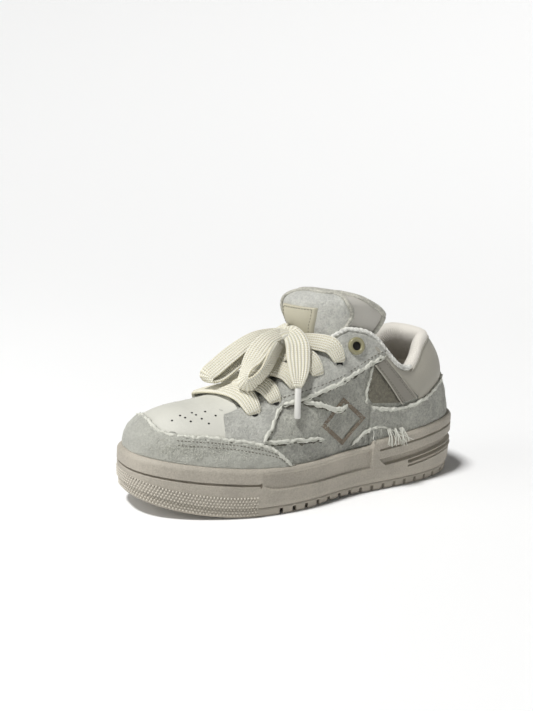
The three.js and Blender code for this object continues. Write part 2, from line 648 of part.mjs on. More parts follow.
const bowCords = Object.entries(bow).map(([name, rowsOf]) => {
  const points = rowsOf.map(({ x, y, z }) => new THREE.Vector3(x, y, z));
  const widths = (t) => {
    const place = t * (rowsOf.length - 1);
    const i = Math.min(Math.floor(place), rowsOf.length - 2);
    return rowsOf[i].width + (rowsOf[i + 1].width - rowsOf[i].width) * (place - i);
  };
  const cord = ribbon(points, widths, bowFacing[name], 2 * (rowsOf.length - 1));
  return [name, cord.subtract(knotBall(gap))];
});
const knot = knotBall(0).subtract(laceCrossings.add(laceCrossings.translate([0, 0, 0.35])));
const agletBodies = Object.entries(aglets).map(([name, [top, foot]]) => {
  const from = new THREE.Vector3(top.x, top.y, top.z);
  const to = new THREE.Vector3(foot.x, foot.y, foot.z);
  const sleeve = new THREE.CylinderGeometry(agletRadius, agletRadius, from.distanceTo(to), 8);
  const middle = from.clone().add(to).multiplyScalar(0.5);
  const place = { point: middle, normal: from.clone().sub(to).normalize() };
  return [name, bodyOf(standOn(sleeve, place))];
});

// Named meshes.
const looks = {
  rubber: { color: 0xc9c3b4, roughness: 0.75 },
  tread: { color: 0xbfb8a8, roughness: 0.8 },
  canvas: { color: 0xd9d8cf, roughness: 0.95 },
  leather: { color: 0xd6d2c6, roughness: 0.55 },
  suede: { color: 0xcfcabd, roughness: 0.85 },
  lining: { color: 0xd8d4cb, roughness: 0.9 },
  metal: { color: 0xb9b394, roughness: 0.35, metalness: 0.8 },
  lace: { color: 0xefeadb, roughness: 0.9 },
  plastic: { color: 0xe4e2da, roughness: 0.4 },
};
const group = new THREE.Group();
group.name = "worn_out_sneaker";
function addPart(name, body, look) {
  const { vertProperties, triVerts } = body.getMesh();
  const geometry = new THREE.BufferGeometry();
  geometry.setAttribute("position", new THREE.BufferAttribute(new Float32Array(vertProperties), 3));
  geometry.setIndex(new THREE.BufferAttribute(new Uint32Array(triVerts), 1));
  geometry.computeVertexNormals();
  const mesh = new THREE.Mesh(geometry, new THREE.MeshStandardMaterial({ metalness: 0, ...looks[look] }));
  mesh.name = name;
  group.add(mesh);
}
addPart("outsole", outsole, "tread");
addPart("midsole", midsole, "rubber");
addPart("insole", insole, "lining");
addPart("upper", upper, "canvas");
addPart("tongue", tongue, "canvas");
addPart("collar_lining", lining, "lining");
addPart("mudguard", mudguard, "canvas");
addPart("heel_counter", heelCounter, "canvas");
addPart("eyestay_outer", eyestays[0], "canvas");
addPart("eyestay_inner", eyestays[1], "canvas");
addPart("strap_outer", straps[0], "leather");
addPart("strap_inner", straps[1], "leather");
addPart("ring_outer", rings[0], "metal");
addPart("ring_inner", rings[1], "metal");
addPart("collar_binding", binding, "leather");
addPart("tongue_label", label, "canvas");
addPart("lace_crossings", laceCrossings, "lace");
addPart("lace_knot", knot, "lace");
for (const [name, body] of bowCords) addPart(`lace_${name}`, body, "lace");
for (const [name, body] of agletBodies) addPart(name, body, "plastic");

export default group;
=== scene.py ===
import math

import bmesh
import bpy
import numpy as np
from mathutils import Matrix, Vector


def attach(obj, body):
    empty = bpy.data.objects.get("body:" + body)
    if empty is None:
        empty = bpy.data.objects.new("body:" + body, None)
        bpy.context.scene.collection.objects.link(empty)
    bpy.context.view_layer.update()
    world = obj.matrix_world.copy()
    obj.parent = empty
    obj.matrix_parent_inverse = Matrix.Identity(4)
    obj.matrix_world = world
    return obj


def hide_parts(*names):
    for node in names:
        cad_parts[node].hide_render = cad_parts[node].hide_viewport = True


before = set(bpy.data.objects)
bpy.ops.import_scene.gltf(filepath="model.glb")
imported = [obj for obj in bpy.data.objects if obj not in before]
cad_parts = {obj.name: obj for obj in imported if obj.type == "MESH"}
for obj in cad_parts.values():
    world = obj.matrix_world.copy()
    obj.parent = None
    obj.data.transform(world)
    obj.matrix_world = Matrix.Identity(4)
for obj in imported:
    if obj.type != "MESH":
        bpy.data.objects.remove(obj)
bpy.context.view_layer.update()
rng = np.random.default_rng(7)

# Shoe form in millimetres: +X toe, +Y outer side of the left shoe, floor at Z = 0.
shoe = dict(length=270.0, rimWidth=5.0, wall=2.4, panelLift=0.3, panelThick=1.5, heelStep=3.0, heelStepAt=0.346,
            heelStepRun=0.008, panelRound=0.35, throatFront=0.735, toeDrop=20.0, toeDropFrom=0.86, toeDropOver=0.14,
            toeSpring=12.0, springFrom=0.72, springOver=0.28, heelBevel=2.0, bevelOver=0.06, treadHeight=6.5)
heelLean = dict(rake=27.0, start=48.0, over=65.0, risePower=1.25, fadeAt=0.5, fadePower=1.5)

# Plan of the sole: part of the length from the heel, half widths, sideways curve of the middle line.
solePlan = dict(at=[0, 0.16, 0.4, 0.58, 0.72, 0.88, 1], outer=[42.5, 42.5, 42, 51, 53, 50.5, 50],
                inner=[40.5, 40.5, 37.5, 47.5, 54.2, 48.5, 47], middle=[0, 0, 0.5, 0.5, 0, -2.5, -6])
soleRise = dict(at=[0, 0.2, 0.35, 0.55, 0.7, 0.85, 1], bed=[31, 27, 22.5, 19, 18.5, 22, 29],
                rim=[44.5, 38.8, 35.4, 33, 33.6, 36.8, 41.7])

# Arch of the upper at each station: start of the curve, ridge height, squareness.
upperForm = dict(at=[0, 0.2, 0.33, 0.43, 0.5, 0.57, 0.637, 0.703, 0.76, 0.82, 0.9, 1],
                 base=[46, 41, 36.5, 34.4, 33.6, 33.2, 33.2, 33.8, 34.8, 36.2, 38.4, 41.7],
                 top=[150, 150, 142, 126, 111, 98.5, 87, 78, 73, 70.5, 68.5, 66],
                 square=[3.2, 3.2, 3, 2.7, 2.45, 2.2, 2, 1.85, 1.85, 1.9, 2, 2.2])
collarLine = dict(at=[0, 0.05, 0.1, 0.15, 0.18, 0.2, 0.235, 0.28, 0.3, 0.32, 0.34, 0.36, 0.4, 0.44, 0.48],
                  height=[109.5, 108.5, 104, 93.5, 88.5, 87.5, 91, 103, 109, 113, 115.4, 116.8, 118, 119.5, 121])
throatLine = dict(at=[0.38, 0.43, 0.5, 0.6, 0.735], half=[26, 24, 22, 20, 17])
opening = dict(collarTo=0.48, throatFrom=0.38, roundFrom=0.64)  # stations where the parts of the top edge meet
safeStations, safeAngle = (0.0006, 0.9994), 0.02  # normals are taken just inside the ends and above the base


def readTable(table, name, at):  # cubic between rows, each row's slope taken from its two neighbours
    rows, values = np.asarray(table["at"], float), np.asarray(table[name], float)
    last = len(rows) - 1
    before, after = np.maximum(np.arange(last + 1) - 1, 0), np.minimum(np.arange(last + 1) + 1, last)
    slope = (values[after] - values[before]) / (rows[after] - rows[before])
    i = np.clip(np.searchsorted(rows, at, side="right") - 1, 0, last - 1)
    width = rows[i + 1] - rows[i]
    t = (at - rows[i]) / width
    ease = t * t * (3 - 2 * t)
    bend = slope[i] * t * (1 - t) ** 2 - slope[i + 1] * t * t * (1 - t)
    return values[i] * (1 - ease) + values[i + 1] * ease + width * bend


def easeStep(value, width):  # 0 to 1 across a width centred on zero
    t = np.clip(np.asarray(value) / width + 0.5, 0, 1)
    return t * t * (3 - 2 * t)


def planCap(at):  # superellipse that rounds the plan towards heel and toe
    power = np.where(at < 0.5, 3.0, 2.6)
    return np.maximum(0, 1 - np.abs(2 * at - 1) ** power) ** (1 / power)


def halfAt(side, at, inset):  # half width of one side: its row of the plan less the inset, times the cap
    half = np.where(side > 0, readTable(solePlan, "outer", at), readTable(solePlan, "inner", at))
    return (half - inset) * planCap(at)


def middleAt(at):  # sideways curve of the middle line, read from the plan
    return readTable(solePlan, "middle", at)


def alongAt(at, inset):  # distance along X: the station's part of the length that is left inside the inset
    return (at - 0.5) * (shoe["length"] - 2 * inset)


def floorAt(at):  # underside: toe spring and heel bevel, each the square of the distance past its start
    return (shoe["toeSpring"] * np.maximum(0, (at - shoe["springFrom"]) / shoe["springOver"]) ** 2
            + shoe["heelBevel"] * np.maximum(0, (shoe["bevelOver"] - at) / shoe["bevelOver"]) ** 2)


def rimAt(at):  # rim height from the table, plus the heel block's step over a short ramp
    run = shoe["heelStepRun"]
    step = np.clip((shoe["heelStepAt"] + run / 2 - at) / run, 0, 1)
    return readTable(soleRise, "rim", at) + shoe["heelStep"] * step


def bedAt(at):  # height of the foot bed, read from the table
    return readTable(soleRise, "bed", at)


def ridgeAt(at):  # top of the arch from the table, less a quarter-round drop at the toe
    t = np.maximum(0, (at - shoe["toeDropFrom"]) / shoe["toeDropOver"])
    return readTable(upperForm, "top", at) - shoe["toeDrop"] * (1 - np.sqrt(np.maximum(0, 1 - t * t)))


def leanAt(at, z):  # forward lean of the heel: a power of the height, faded out towards mid foot
    rise = np.maximum(0, (z - heelLean["start"]) / heelLean["over"]) ** heelLean["risePower"]
    return heelLean["rake"] * rise * np.maximum(0, 1 - at / heelLean["fadeAt"]) ** heelLean["fadePower"]


def formPoint(side, at, angle):  # arch over the station: width by cosine, height by sine, both to the squareness
    side, at, angle = np.broadcast_arrays(np.asarray(side, float), np.asarray(at, float), np.asarray(angle, float))
    base = readTable(upperForm, "base", at)
    power = 2 / readTable(upperForm, "square", at)
    y = middleAt(at) + side * halfAt(side, at, shoe["rimWidth"]) * np.maximum(0, np.cos(angle)) ** power
    z = base + (ridgeAt(at) - base) * np.maximum(0, np.sin(angle)) ** power
    return np.stack([alongAt(at, shoe["rimWidth"]) + leanAt(at, z), y, z], -1)


def formTurn(turn, angle):  # same arch, station given as a turn round the shoe: 0 heel, pi toe, minus on the inner side
    turn = np.where(turn > math.pi, turn - 2 * math.pi, np.where(turn < -math.pi, turn + 2 * math.pi, turn))
    return formPoint(np.where(np.sin(turn) >= 0, 1.0, -1.0), (1 - np.cos(turn)) / 2, angle)


def unit(v):  # vector divided by its length
    return v / np.maximum(np.linalg.norm(v, axis=-1, keepdims=True), 1e-9)


def outward(side, at, angle):  # normal of the arch, from its two slopes
    turn = np.arccos(1 - 2 * np.clip(at, 0, 1)) * np.where(np.asarray(side) >= 0, 1.0, -1.0)
    turn, angle = np.broadcast_arrays(turn, np.asarray(angle, float))
    step = 0.006
    along = formTurn(turn + step, angle) - formTurn(turn - step, angle)
    up = formTurn(turn, np.minimum(angle + step, math.pi / 2)) - formTurn(turn, np.maximum(angle - step, 0.0005))
    return unit(np.cross(up, along))


def surfaceNormal(side, at, angle):  # the same normal, held off both ends and the base, where the slopes vanish
    return outward(side, np.clip(at, *safeStations), np.maximum(angle, safeAngle))


def angleAtHalf(side, at, half):  # angle at a distance from the middle plane: the arch's width solved for it
    part = np.clip(half / np.maximum(halfAt(side, at, shoe["rimWidth"]), 1e-6), 0, 1)
    return np.arccos(part ** (readTable(upperForm, "square", at) / 2))


def angleAtHeight(at, z):  # angle at a height: the arch's height solved for it
    base = readTable(upperForm, "base", at)
    rise = np.clip((z - base) / (ridgeAt(at) - base), 0, 1)
    return np.arcsin(rise ** (readTable(upperForm, "square", at) / 2))


def edgeAngle(side, at):  # top edge of the upper: ankle line, then lacing gap, then the ridge in front of it
    side, at = np.broadcast_arrays(np.asarray(side, float), np.asarray(at, float))
    front, start, to = shoe["throatFront"], opening["throatFrom"], opening["collarTo"]
    height = readTable(collarLine, "height", np.minimum(at, to))
    collar = np.where(at < to, angleAtHeight(at, height), math.pi / 2)
    past = np.maximum(0, (at - opening["roundFrom"]) / (front - opening["roundFrom"]))
    narrow = np.sqrt(np.maximum(0, 1 - past ** 2))
    throat = angleAtHalf(side, at, readTable(throatLine, "half", np.clip(at, start, front)) * narrow)
    edge = np.where(at < start, collar, np.minimum(collar, throat))
    return np.where(at >= front, math.pi / 2, edge)


def sidePlace(x, z):  # station and angle of a point seen from the side, found by a few corrections of the lean
    x, z = np.broadcast_arrays(np.asarray(x, float), np.asarray(z, float))
    span = shoe["length"] - 2 * shoe["rimWidth"]
    at = np.clip(x / span + 0.5, 0, 1)
    for _ in range(8):
        at = np.clip((x - leanAt(at, z)) / span + 0.5, 0, 1)
    return at, angleAtHeight(at, z)


def sidePoint(side, x, z, lift):  # point of the upper at a side-view place, lifted along its normal
    at, angle = sidePlace(x, z)
    return formPoint(side, at, angle) + outward(side, at, angle) * np.asarray(lift)[..., None]


def smoothPath(points, count):  # cubic through the points, spaced evenly along the chord
    points = np.asarray(points, float)
    chord = np.concatenate([[0], np.cumsum(np.linalg.norm(np.diff(points, axis=0), axis=1))])
    at = np.linspace(0, chord[-1], count)
    return np.stack([readTable(dict(at=chord, v=points[:, k]), "v", at) for k in range(points.shape[1])], -1)


def arcLength(points, axis):  # running length along one direction of a grid, from zero
    steps = np.linalg.norm(np.diff(points, axis=axis), axis=-1)
    return np.concatenate([np.zeros_like(np.take(steps, [0], axis)), np.cumsum(steps, axis)], axis)


def gridFaces(nu, nv, closeU=False, closeV=False):  # quads of a grid, first index round the shoe, second upwards
    i, j = np.meshgrid(np.arange(nu if closeU else nu - 1), np.arange(nv if closeV else nv - 1), indexing="ij")
    i2, j2 = (i + 1) % nu, (j + 1) % nv
    return np.stack([i * nv + j, i * nv + j2, i2 * nv + j2, i2 * nv + j], -1).reshape(-1, 4)


def addPiece(name, points, faces, material, uv=None, weld=False):  # quads in millimetres as a piece on the only body
    points, faces = np.asarray(points, float).reshape(-1, 3), np.asarray(faces)
    if weld:  # join points that coincide and drop the faces that vanish
        _, first, back = np.unique(np.round(points, 3), axis=0, return_index=True, return_inverse=True)
        points, faces = points[first], back.reshape(-1)[faces]
        uv = None if uv is None else np.asarray(uv).reshape(-1, 2)[first]
    mesh = bpy.data.meshes.new(name)
    if weld:
        kept = [list(dict.fromkeys(face)) for face in faces.tolist()]
        mesh.from_pydata((points * 0.001).tolist(), [], [face for face in kept if len(face) > 2])
    else:
        mesh.vertices.add(len(points))
        mesh.vertices.foreach_set("co", (points * 0.001).astype(np.float32).ravel())
        mesh.loops.add(faces.size)
        mesh.loops.foreach_set("vertex_index", faces.astype(np.int32).ravel())
        mesh.polygons.add(len(faces))
        mesh.polygons.foreach_set("loop_start", np.arange(0, faces.size, faces.shape[1], dtype=np.int32))
        mesh.update(calc_edges=True)
    mesh.validate()
    mesh.polygons.foreach_set("use_smooth", np.full(len(mesh.polygons), True))
    if uv is not None:
        corner = np.zeros(len(mesh.loops), np.int32)
        mesh.loops.foreach_get("vertex_index", corner)
        layer = mesh.uv_layers.new(name="flat")
        layer.data.foreach_set("uv", np.asarray(uv, np.float32).reshape(-1, 2)[corner].ravel())
    mesh.materials.append(material)
    piece = bpy.data.objects.new(name, mesh)
    bpy.context.scene.collection.objects.link(piece)
    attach(piece, "root")
    return piece


def gridUv(points):  # lengths along both directions of a grid, in units of 10 mm
    return np.stack([arcLength(points, 0), arcLength(points, 1)], -1) / 10


class Wire:  # a socket that takes part in sums
    def __init__(self, finish, socket):
        self.finish, self.socket = finish, socket

    def math(self, operation, *others):  # one Math node with this socket first
        inputs = {0: self, **{i + 1: other for i, other in enumerate(others)}}
        return self.finish.node("ShaderNodeMath", dict(operation=operation), inputs)

    def band(self, low, high):  # smooth 0 to 1 between two values
        inputs = {"Value": self, "From Min": low, "From Max": high}
        return self.finish.node("ShaderNodeMapRange", dict(interpolation_type="SMOOTHSTEP"), inputs)

    def __add__(self, other):
        return self.math("ADD", other)

    def __mul__(self, other):
        return self.math("MULTIPLY", other)

    def __sub__(self, other):
        return self.math("SUBTRACT", other)

    def __rsub__(self, other):
        return (self * -1.0) + other

    __radd__, __rmul__ = __add__, __mul__


class Finish:  # a material and the nodes behind it
    def __init__(self, name, colour, roughness, **sockets):
        self.material = bpy.data.materials.new(name)
        self.material.use_nodes = True
        self.tree = self.material.node_tree
        self.shader = next(n for n in self.tree.nodes if n.type == "BSDF_PRINCIPLED")
        self.put("Base Color", (*colour, 1))
        self.put("Roughness", roughness)
        for key, value in sockets.items():
            self.put(key.replace("_", " "), value)

    def put(self, name, value):  # a value or a wire into the shader's socket
        socket = self.shader.inputs[name]
        if isinstance(value, Wire):
            self.tree.links.new(value.socket, socket)
        else:
            socket.default_value = value

    def node(self, kind, settings, inputs, output=0):  # one node of any type, with its settings and sockets
        node = self.tree.nodes.new(kind)
        for key, value in settings.items():
            setattr(node, key, value)
        for key, value in inputs.items():
            if isinstance(value, Wire):
                self.tree.links.new(value.socket, node.inputs[key])
            else:
                node.inputs[key].default_value = value
        return Wire(self, node.outputs[output])

    def place(self, which="Object"):  # coordinates of the piece
        return self.node("ShaderNodeTexCoord", {}, {}, which)

    def noise(self, scale, detail=4.0, rough=0.55, at=None, stretch=None):  # cloud noise, stretched if asked
        at = at or self.place()
        if stretch:
            at = self.node("ShaderNodeMapping", {}, {"Vector": at, "Scale": stretch})
        inputs = {"Vector": at, "Scale": scale, "Detail": detail, "Roughness": rough}
        return self.node("ShaderNodeTexNoise", {}, inputs)

    def flatParts(self):  # lengths along and across the piece, from its flat map
        along = self.node("ShaderNodeSeparateXYZ", {}, {"Vector": self.place("UV")})
        return along, Wire(self, along.socket.node.outputs[1])

    def mix(self, factor, a, b):  # from one tone to another; 6, 7 and 2 are the node's colour sockets
        return self.node("ShaderNodeMix", dict(data_type="RGBA"), {0: factor, 6: (*a, 1), 7: (*b, 1)}, 2)

    def bump(self, height, distance, strength=1.0):  # relief of a height map, distance in metres
        inputs = {"Height": height, "Distance": distance, "Strength": strength}
        self.put("Normal", self.node("ShaderNodeBump", {}, inputs))


def shade(r, g, b):  # screen colour 0 to 255 as linear light
    c = np.array([r, g, b]) / 255
    return tuple(float(v) for v in np.where(c < 0.04045, c / 12.92, ((c + 0.055) / 1.055) ** 2.4))


def dim(tone, factor):  # tone times a factor, at most white
    return tuple(min(1, v * factor) for v in tone)


# Tones of the finishes as screen colours.
tones = dict(rubber=shade(174, 167, 154), tread=shade(166, 159, 146), canvas=shade(198, 198, 187),
             # tongue: set lighter than the side canvas, partly painted light on the tongue's front
             panel=shade(184, 184, 174), stay=shade(208, 208, 199), tongue=shade(240, 240, 231),
             fray=shade(206, 206, 195), cord=shade(240, 239, 230), vamp=shade(206, 205, 195),
             leather=shade(166, 162, 150), strap=shade(138, 134, 124), suede=shade(122, 118, 103),
             # lining: set near white, partly painted light lifting the shaded inside of the collar and tongue
             lining=shade(240, 235, 225), gusset=shade(182, 179, 171), lace=shade(234, 231, 217),
             label=shade(188, 183, 162), ring=shade(142, 137, 106), aglet=shade(212, 211, 205),
             # gap: dark tone of the painted shadow ropes under raised edges
             # hole: near black, painted shade inside the holes
             holeShade=shade(20, 18, 16), gap=shade(92, 90, 80), rope=shade(204, 202, 190),
             # dot: lighter copy of the sole rubber, a painted highlight on the toe dots
             trim=shade(176, 172, 160), dot=shade(196, 190, 178), thread=shade(112, 109, 98),
             motif=shade(150, 134, 112), insole=shade(196, 190, 178))


def rubberFinish():  # slow clouds and fine specks between two tones, the specks raised
    f = Finish("sole rubber", tones["rubber"], 0.62)
    cloud, speck = f.noise(38, 5), f.noise(800, 4, 0.7)
    mottle = (cloud * 0.4 + speck * 0.6).band(0.4, 0.6)
    f.put("Base Color", f.mix(mottle, dim(tones["rubber"], 0.84), dim(tones["rubber"], 1.05)))
    f.bump(speck, 0.0005, 0.8)
    return f.material


def treadFinish():  # plain rubber with a fine grain
    f = Finish("tread rubber", tones["tread"], 0.7)
    f.bump(f.noise(2200, 2), 0.00012)
    return f.material


def canvasFinish(name, tone, slub=1.0, contrast=0.8):
    # brushed weave: sum of soft tufts, faint crossing threads and fuzz, darker where it is low (painted shade in the
    # hollows, mixed with random blotches of tone)
    f = Finish(name, tone, 0.95)
    flat = f.place("UV")
    warp = f.noise(9, 3, 0.6, flat, (0.35, 5.0, 1.0))
    weft = f.noise(9, 3, 0.6, flat, (5.0, 0.35, 1.0))
    tuft = f.noise(560, 6, 0.74)
    fuzz = f.noise(1300, 4, 0.7)
    blot = f.noise(75, 4, 0.6)
    height = tuft * 0.75 + warp * 0.22 + weft * 0.18 + fuzz * 0.22
    # painted shade: the colour darkens where the weave's height is low; the blotches are random tone
    hollowShadeAndBlots = (height * 0.75 + blot * 0.35).band(0.56, 0.82)
    f.put("Base Color", f.mix(hollowShadeAndBlots, dim(tone, 1 - 0.46 * contrast), dim(tone, 1 + 0.22 * contrast)))
    f.bump(height, 0.003 * slub, 1.0)
    f.put("Sheen Weight", 0.2)
    f.put("Sheen Roughness", 0.6)
    return f.material


def leatherFinish(name, tone, roughness=0.5, grain=0.00012):  # pebbled relief, tone and gloss in slow clouds
    f = Finish(name, tone, roughness)
    pebble = f.node("ShaderNodeTexVoronoi", {}, {"Vector": f.place(), "Scale": 900.0})
    cloud = f.noise(45, 4)
    f.put("Base Color", f.mix(cloud.band(0.3, 0.7), dim(tone, 0.93), tone))
    f.put("Roughness", cloud * 0.16 + (roughness - 0.08))
    f.bump(pebble * 0.6 + f.noise(260, 3) * 0.8, grain)
    return f.material


def suedeFinish():  # short nap, with painted shade darkening its hollows
    f = Finish("suede", tones["suede"], 0.95, Sheen_Weight=0.3)
    nap = f.noise(420, 5, 0.7)
    # painted shade: colour darker where the nap's height is low
    f.put("Base Color", f.mix(nap.band(0.35, 0.65), dim(tones["suede"], 0.66), dim(tones["suede"], 1.05)))
    f.bump(nap, 0.0007)
    return f.material


def ribbedFinish():  # knitted lining: fine ribs slanting across the roll, with painted shade darkening the grooves between them
    f = Finish("ribbed lining", tones["lining"], 0.85, Sheen_Weight=0.15)
    along, across = f.flatParts()
    rib = (along * 42 + across * 16).math("SINE") * 0.5 + 0.5
    # painted shade: colour darker in the rib grooves
    f.put("Base Color", f.mix(rib.band(0.0, 0.7), dim(tones["lining"], 0.86), tones["lining"]))
    f.bump(rib * 0.7 + f.noise(900, 3) * 0.3, 0.0004)
    return f.material


def laceFinish():  # knitted ribs along the lace, each a row of small slanting loops, with a painted yellowish shade in the grooves
    f = Finish("flat lace", tones["lace"], 0.85, Sheen_Weight=0.15)
    along, across = f.flatParts()
    ribs, grooveShadeTint = 7, (0.86, 0.82, 0.66)
    rib = 0.5 - (across * (ribs * 2 * math.pi)).math("COSINE") * 0.5
    chevron = (along * 40 + (across * 14).math("PINGPONG", 1.0) * 3.2).math("SINE") * 0.5 + 0.5
    fuzz = f.noise(1400, 3, 0.6)
    # painted shade: grooves between ribs and loops darkened and yellowed
    grooveShadeMask = (rib * 0.6 + chevron * 0.4).band(0.05, 0.62)
    f.put("Base Color", f.mix(grooveShadeMask, tuple(v * m for v, m in zip(tones["lace"], grooveShadeTint)), tones["lace"]))
    f.bump(rib * 0.5 + chevron * 0.5 + fuzz * 0.2, 0.0009, 0.9)
    return f.material


def plainFinish(name, tone, roughness, **sockets):  # one even tone
    return Finish(name, tone, roughness, **sockets).material


rubber, tread = rubberFinish(), treadFinish()
canvas = canvasFinish("canvas", tones["canvas"])
pipingCloth = canvasFinish("piping cord", tones["cord"], 0.5)
ropeCloth = canvasFinish("tongue cord", tones["rope"], 0.5)
panelCanvas = canvasFinish("panel canvas", tones["panel"], 0.5, 0.4)
stayCanvas = canvasFinish("lace panel canvas", tones["stay"], 1.0, 0.6)
# tongue cloth lighter than the side canvas, partly painted light on its front
tongueCloth = canvasFinish("brushed canvas", tones["tongue"], 1.2, 0.5)
vampLeather = leatherFinish("vamp leather", tones["vamp"], 0.62)
sideLeather = leatherFinish("side leather", tones["leather"], 0.55)
strapLeather = leatherFinish("strap leather", tones["strap"], 0.55)
# lining tone partly painted light for the shaded inside
liningLeather = leatherFinish("soft lining", tones["lining"], 0.6)
gussetLeather = leatherFinish("gusset leather", tones["gusset"], 0.55)
labelLeather = leatherFinish("patch leather", tones["label"], 0.5)
suede, laceCloth, ribbedLining = suedeFinish(), laceFinish(), ribbedFinish()
ringEnamel = plainFinish("ring enamel", tones["ring"], 0.32, Coat_Weight=0.4)
agletPlastic = plainFinish("lace tip", tones["aglet"], 0.28, Coat_Weight=0.3)
# near black discs: painted shade inside holes
paintedHoleShade = plainFinish("holeShade", tones["holeShade"], 0.9)
frayThread = plainFinish("frayed thread", tones["fray"], 0.95, Sheen_Weight=0.3)
trimThread = plainFinish("strap trim", tones["trim"], 0.8)
# dark thread for painted shadow ropes below raised edges
gapThread = plainFinish("edge gap", tones["gap"], 0.95)
# painted highlight: the raised dots get a lighter rubber tone than the sole
dotRubber = plainFinish("dot rubber", tones["dot"], 0.6)
# dark stitch tone: partly the thread, partly painted shade in the stitch dents
threadAndStitchShade = plainFinish("sewing thread and stitch shade", tones["thread"], 0.8)
motifCloth = canvasFinish("printed canvas", tones["motif"])
insoleCloth = canvasFinish("insole cloth", tones["insole"])
print("finishes ready")


# Camera at the photograph's angle: place in millimetres, lens from the focal length in image pixels.
photoView = dict(place=(341.2, 550.2, 241.3), right=(-0.8729, 0.4864, 0.0390), up=(-0.0734, -0.2099, 0.9750),
                 focalPixels=912.0, imageHeight=711, sensorWidth=36.0)
camera = bpy.data.objects.new("camera", bpy.data.cameras.new("camera"))
bpy.context.scene.collection.objects.link(camera)
bpy.context.scene.camera = camera
right, up = Vector(photoView["right"]).normalized(), Vector(photoView["up"]).normalized()
back = right.cross(up).normalized()
up = back.cross(right)
turned = Matrix((right, up, back)).transposed().to_4x4()
camera.matrix_world = Matrix.Translation(Vector(photoView["place"]) * 0.001) @ turned
camera.data.sensor_width = photoView["sensorWidth"]
camera.data.lens = photoView["focalPixels"] * photoView["sensorWidth"] / photoView["imageHeight"]
camera.data.clip_start, camera.data.clip_end = 0.01, 30


# Flat lace: points across one face, depth of its lengthways ribs.
ribbon = dict(across=29, ribDepth=0.16)


def ribbonGrid(points, widths, facing, thick, ribs, count):
    # flat lace along a path: broad side towards the facing, cosine ribs on both faces, closed to a point at both ends
    path = smoothPath(np.column_stack([points, widths, facing]), count)
    centre, width, face = path[:, :3], path[:, 3], path[:, 4:7]
    along = unit(np.gradient(centre, axis=0))
    face = unit(face - along * np.sum(face * along, -1, keepdims=True))
    across = np.cross(along, face)
    c = np.linspace(-1, 1, ribbon["across"])
    c = np.concatenate([c, c[-2:0:-1]])
    sign = np.concatenate([np.ones(ribbon["across"]), -np.ones(ribbon["across"] - 2)])
    rib = -ribbon["ribDepth"] * np.cos(c * math.pi * ribs) * (1 - c ** 8)
    height = sign * ((thick / 2) * np.maximum(0, 1 - np.abs(c) ** 5) ** 0.5 + rib)
    offset = across[:, None] * (c[None, :, None] * width[:, None, None] / 2) + face[:, None] * height[None, :, None]
    offset[[0, -1]] = 0
    uv = np.stack(np.broadcast_arrays((arcLength(centre, 0) / 10)[:, None], (c * 0.5 + 0.5)[None, :]), -1)
    return centre[:, None] + offset, gridFaces(count, len(c), closeV=True)[:, ::-1], uv, centre


def fixNormals(piece):  # all faces turned outwards
    bm = bmesh.new()
    bm.from_mesh(piece.data)
    bmesh.ops.recalc_face_normals(bm, faces=bm.faces)
    bm.to_mesh(piece.data)
    bm.free()


# Bow: two continuous cords, each from the knot round its loop, back through the knot and out to its end.
bow = dict(
    thick=3.0, ribs=7, knot=(19, 5, 113), knotWidth=8.0, above=1.5, below=-2, count=260, tipRadius=2.3, tipSides=20,
    route=dict(  # points and width along each part
        loopSide=[(22, 9, 116.5, 9), (33, 10, 113.5, 13), (40.5, 12, 108, 16), (47.7, 15, 100.8, 17),
                  (54.4, 18, 93.6, 16), (57.3, 20.5, 88.5, 15), (55, 23.5, 86, 14), (50.6, 25, 88.6, 14),
                  (45.7, 25.5, 92.8, 14), (39.8, 23, 98.4, 14), (32.6, 18, 105.2, 12), (25, 12, 109.5, 8)],
        loopFront=[(23, 0, 115.5, 9), (37, -3, 112, 13), (52, -6, 102, 16), (65, -8, 91.5, 16),
                   (70.5, -8.5, 86.5, 15), (69, -8, 82.5, 15), (61, -7, 85.5, 15), (49, -5, 95, 14),
                   (37, -3, 102.5, 11), (24, -1, 108.5, 8)],
        endOuter=[(17, 8, 115.5, 11), (16, 13, 117, 14), (16, 21, 111.5, 17), (18, 26.5, 103.5, 17),
                  (21, 33, 94.5, 14), (24, 38, 87.5, 8), (24.9, 39.5, 84.6, 4.6)],
        endInner=[(17, 2, 115.5, 11), (16, -4, 117, 14), (15, -15, 112, 17), (17, -23, 105.5, 17),
                  (19, -29, 95, 14), (21, -34.5, 87.5, 8), (21.7, -36, 84.6, 4.6)]),
    facing=dict(  # direction of the broad side at each point
        loopSide=[(0.35, 0.6, 0.72), (0.4, 0.5, 0.77), (0.42, 0.4, 0.81), (0.48, 0.15, 0.87),
                  (0.75, -0.2, 0.63), (0.9, 0, 0.2), (0.6, 0.5, -0.6), (0.1, 0.7, -0.7), (-0.2, 0.8, -0.5),
                  (-0.2, 0.9, -0.35), (-0.1, 0.95, -0.2), (0, 0.95, 0.2)],
        loopFront=[(0.4, 0.35, 0.85), (0.42, 0.35, 0.85), (0.45, 0.35, 0.82), (0.5, 0.35, 0.78),
                   (0.9, 0.3, 0.3), (0.55, 0.1, -0.8), (-0.4, -0.1, -0.9), (-0.5, -0.2, -0.85),
                   (-0.5, -0.2, -0.85), (-0.5, -0.2, -0.85)],
        endOuter=[(0.35, 0.7, 0.6)], endInner=[(0.35, -0.7, 0.6)]),
    tips=dict(outer=((24.9, 39.5, 84.6), (27.4, 44, 64.5)), inner=((21.7, -36, 84.6), (23.6, -41, 64.5))))


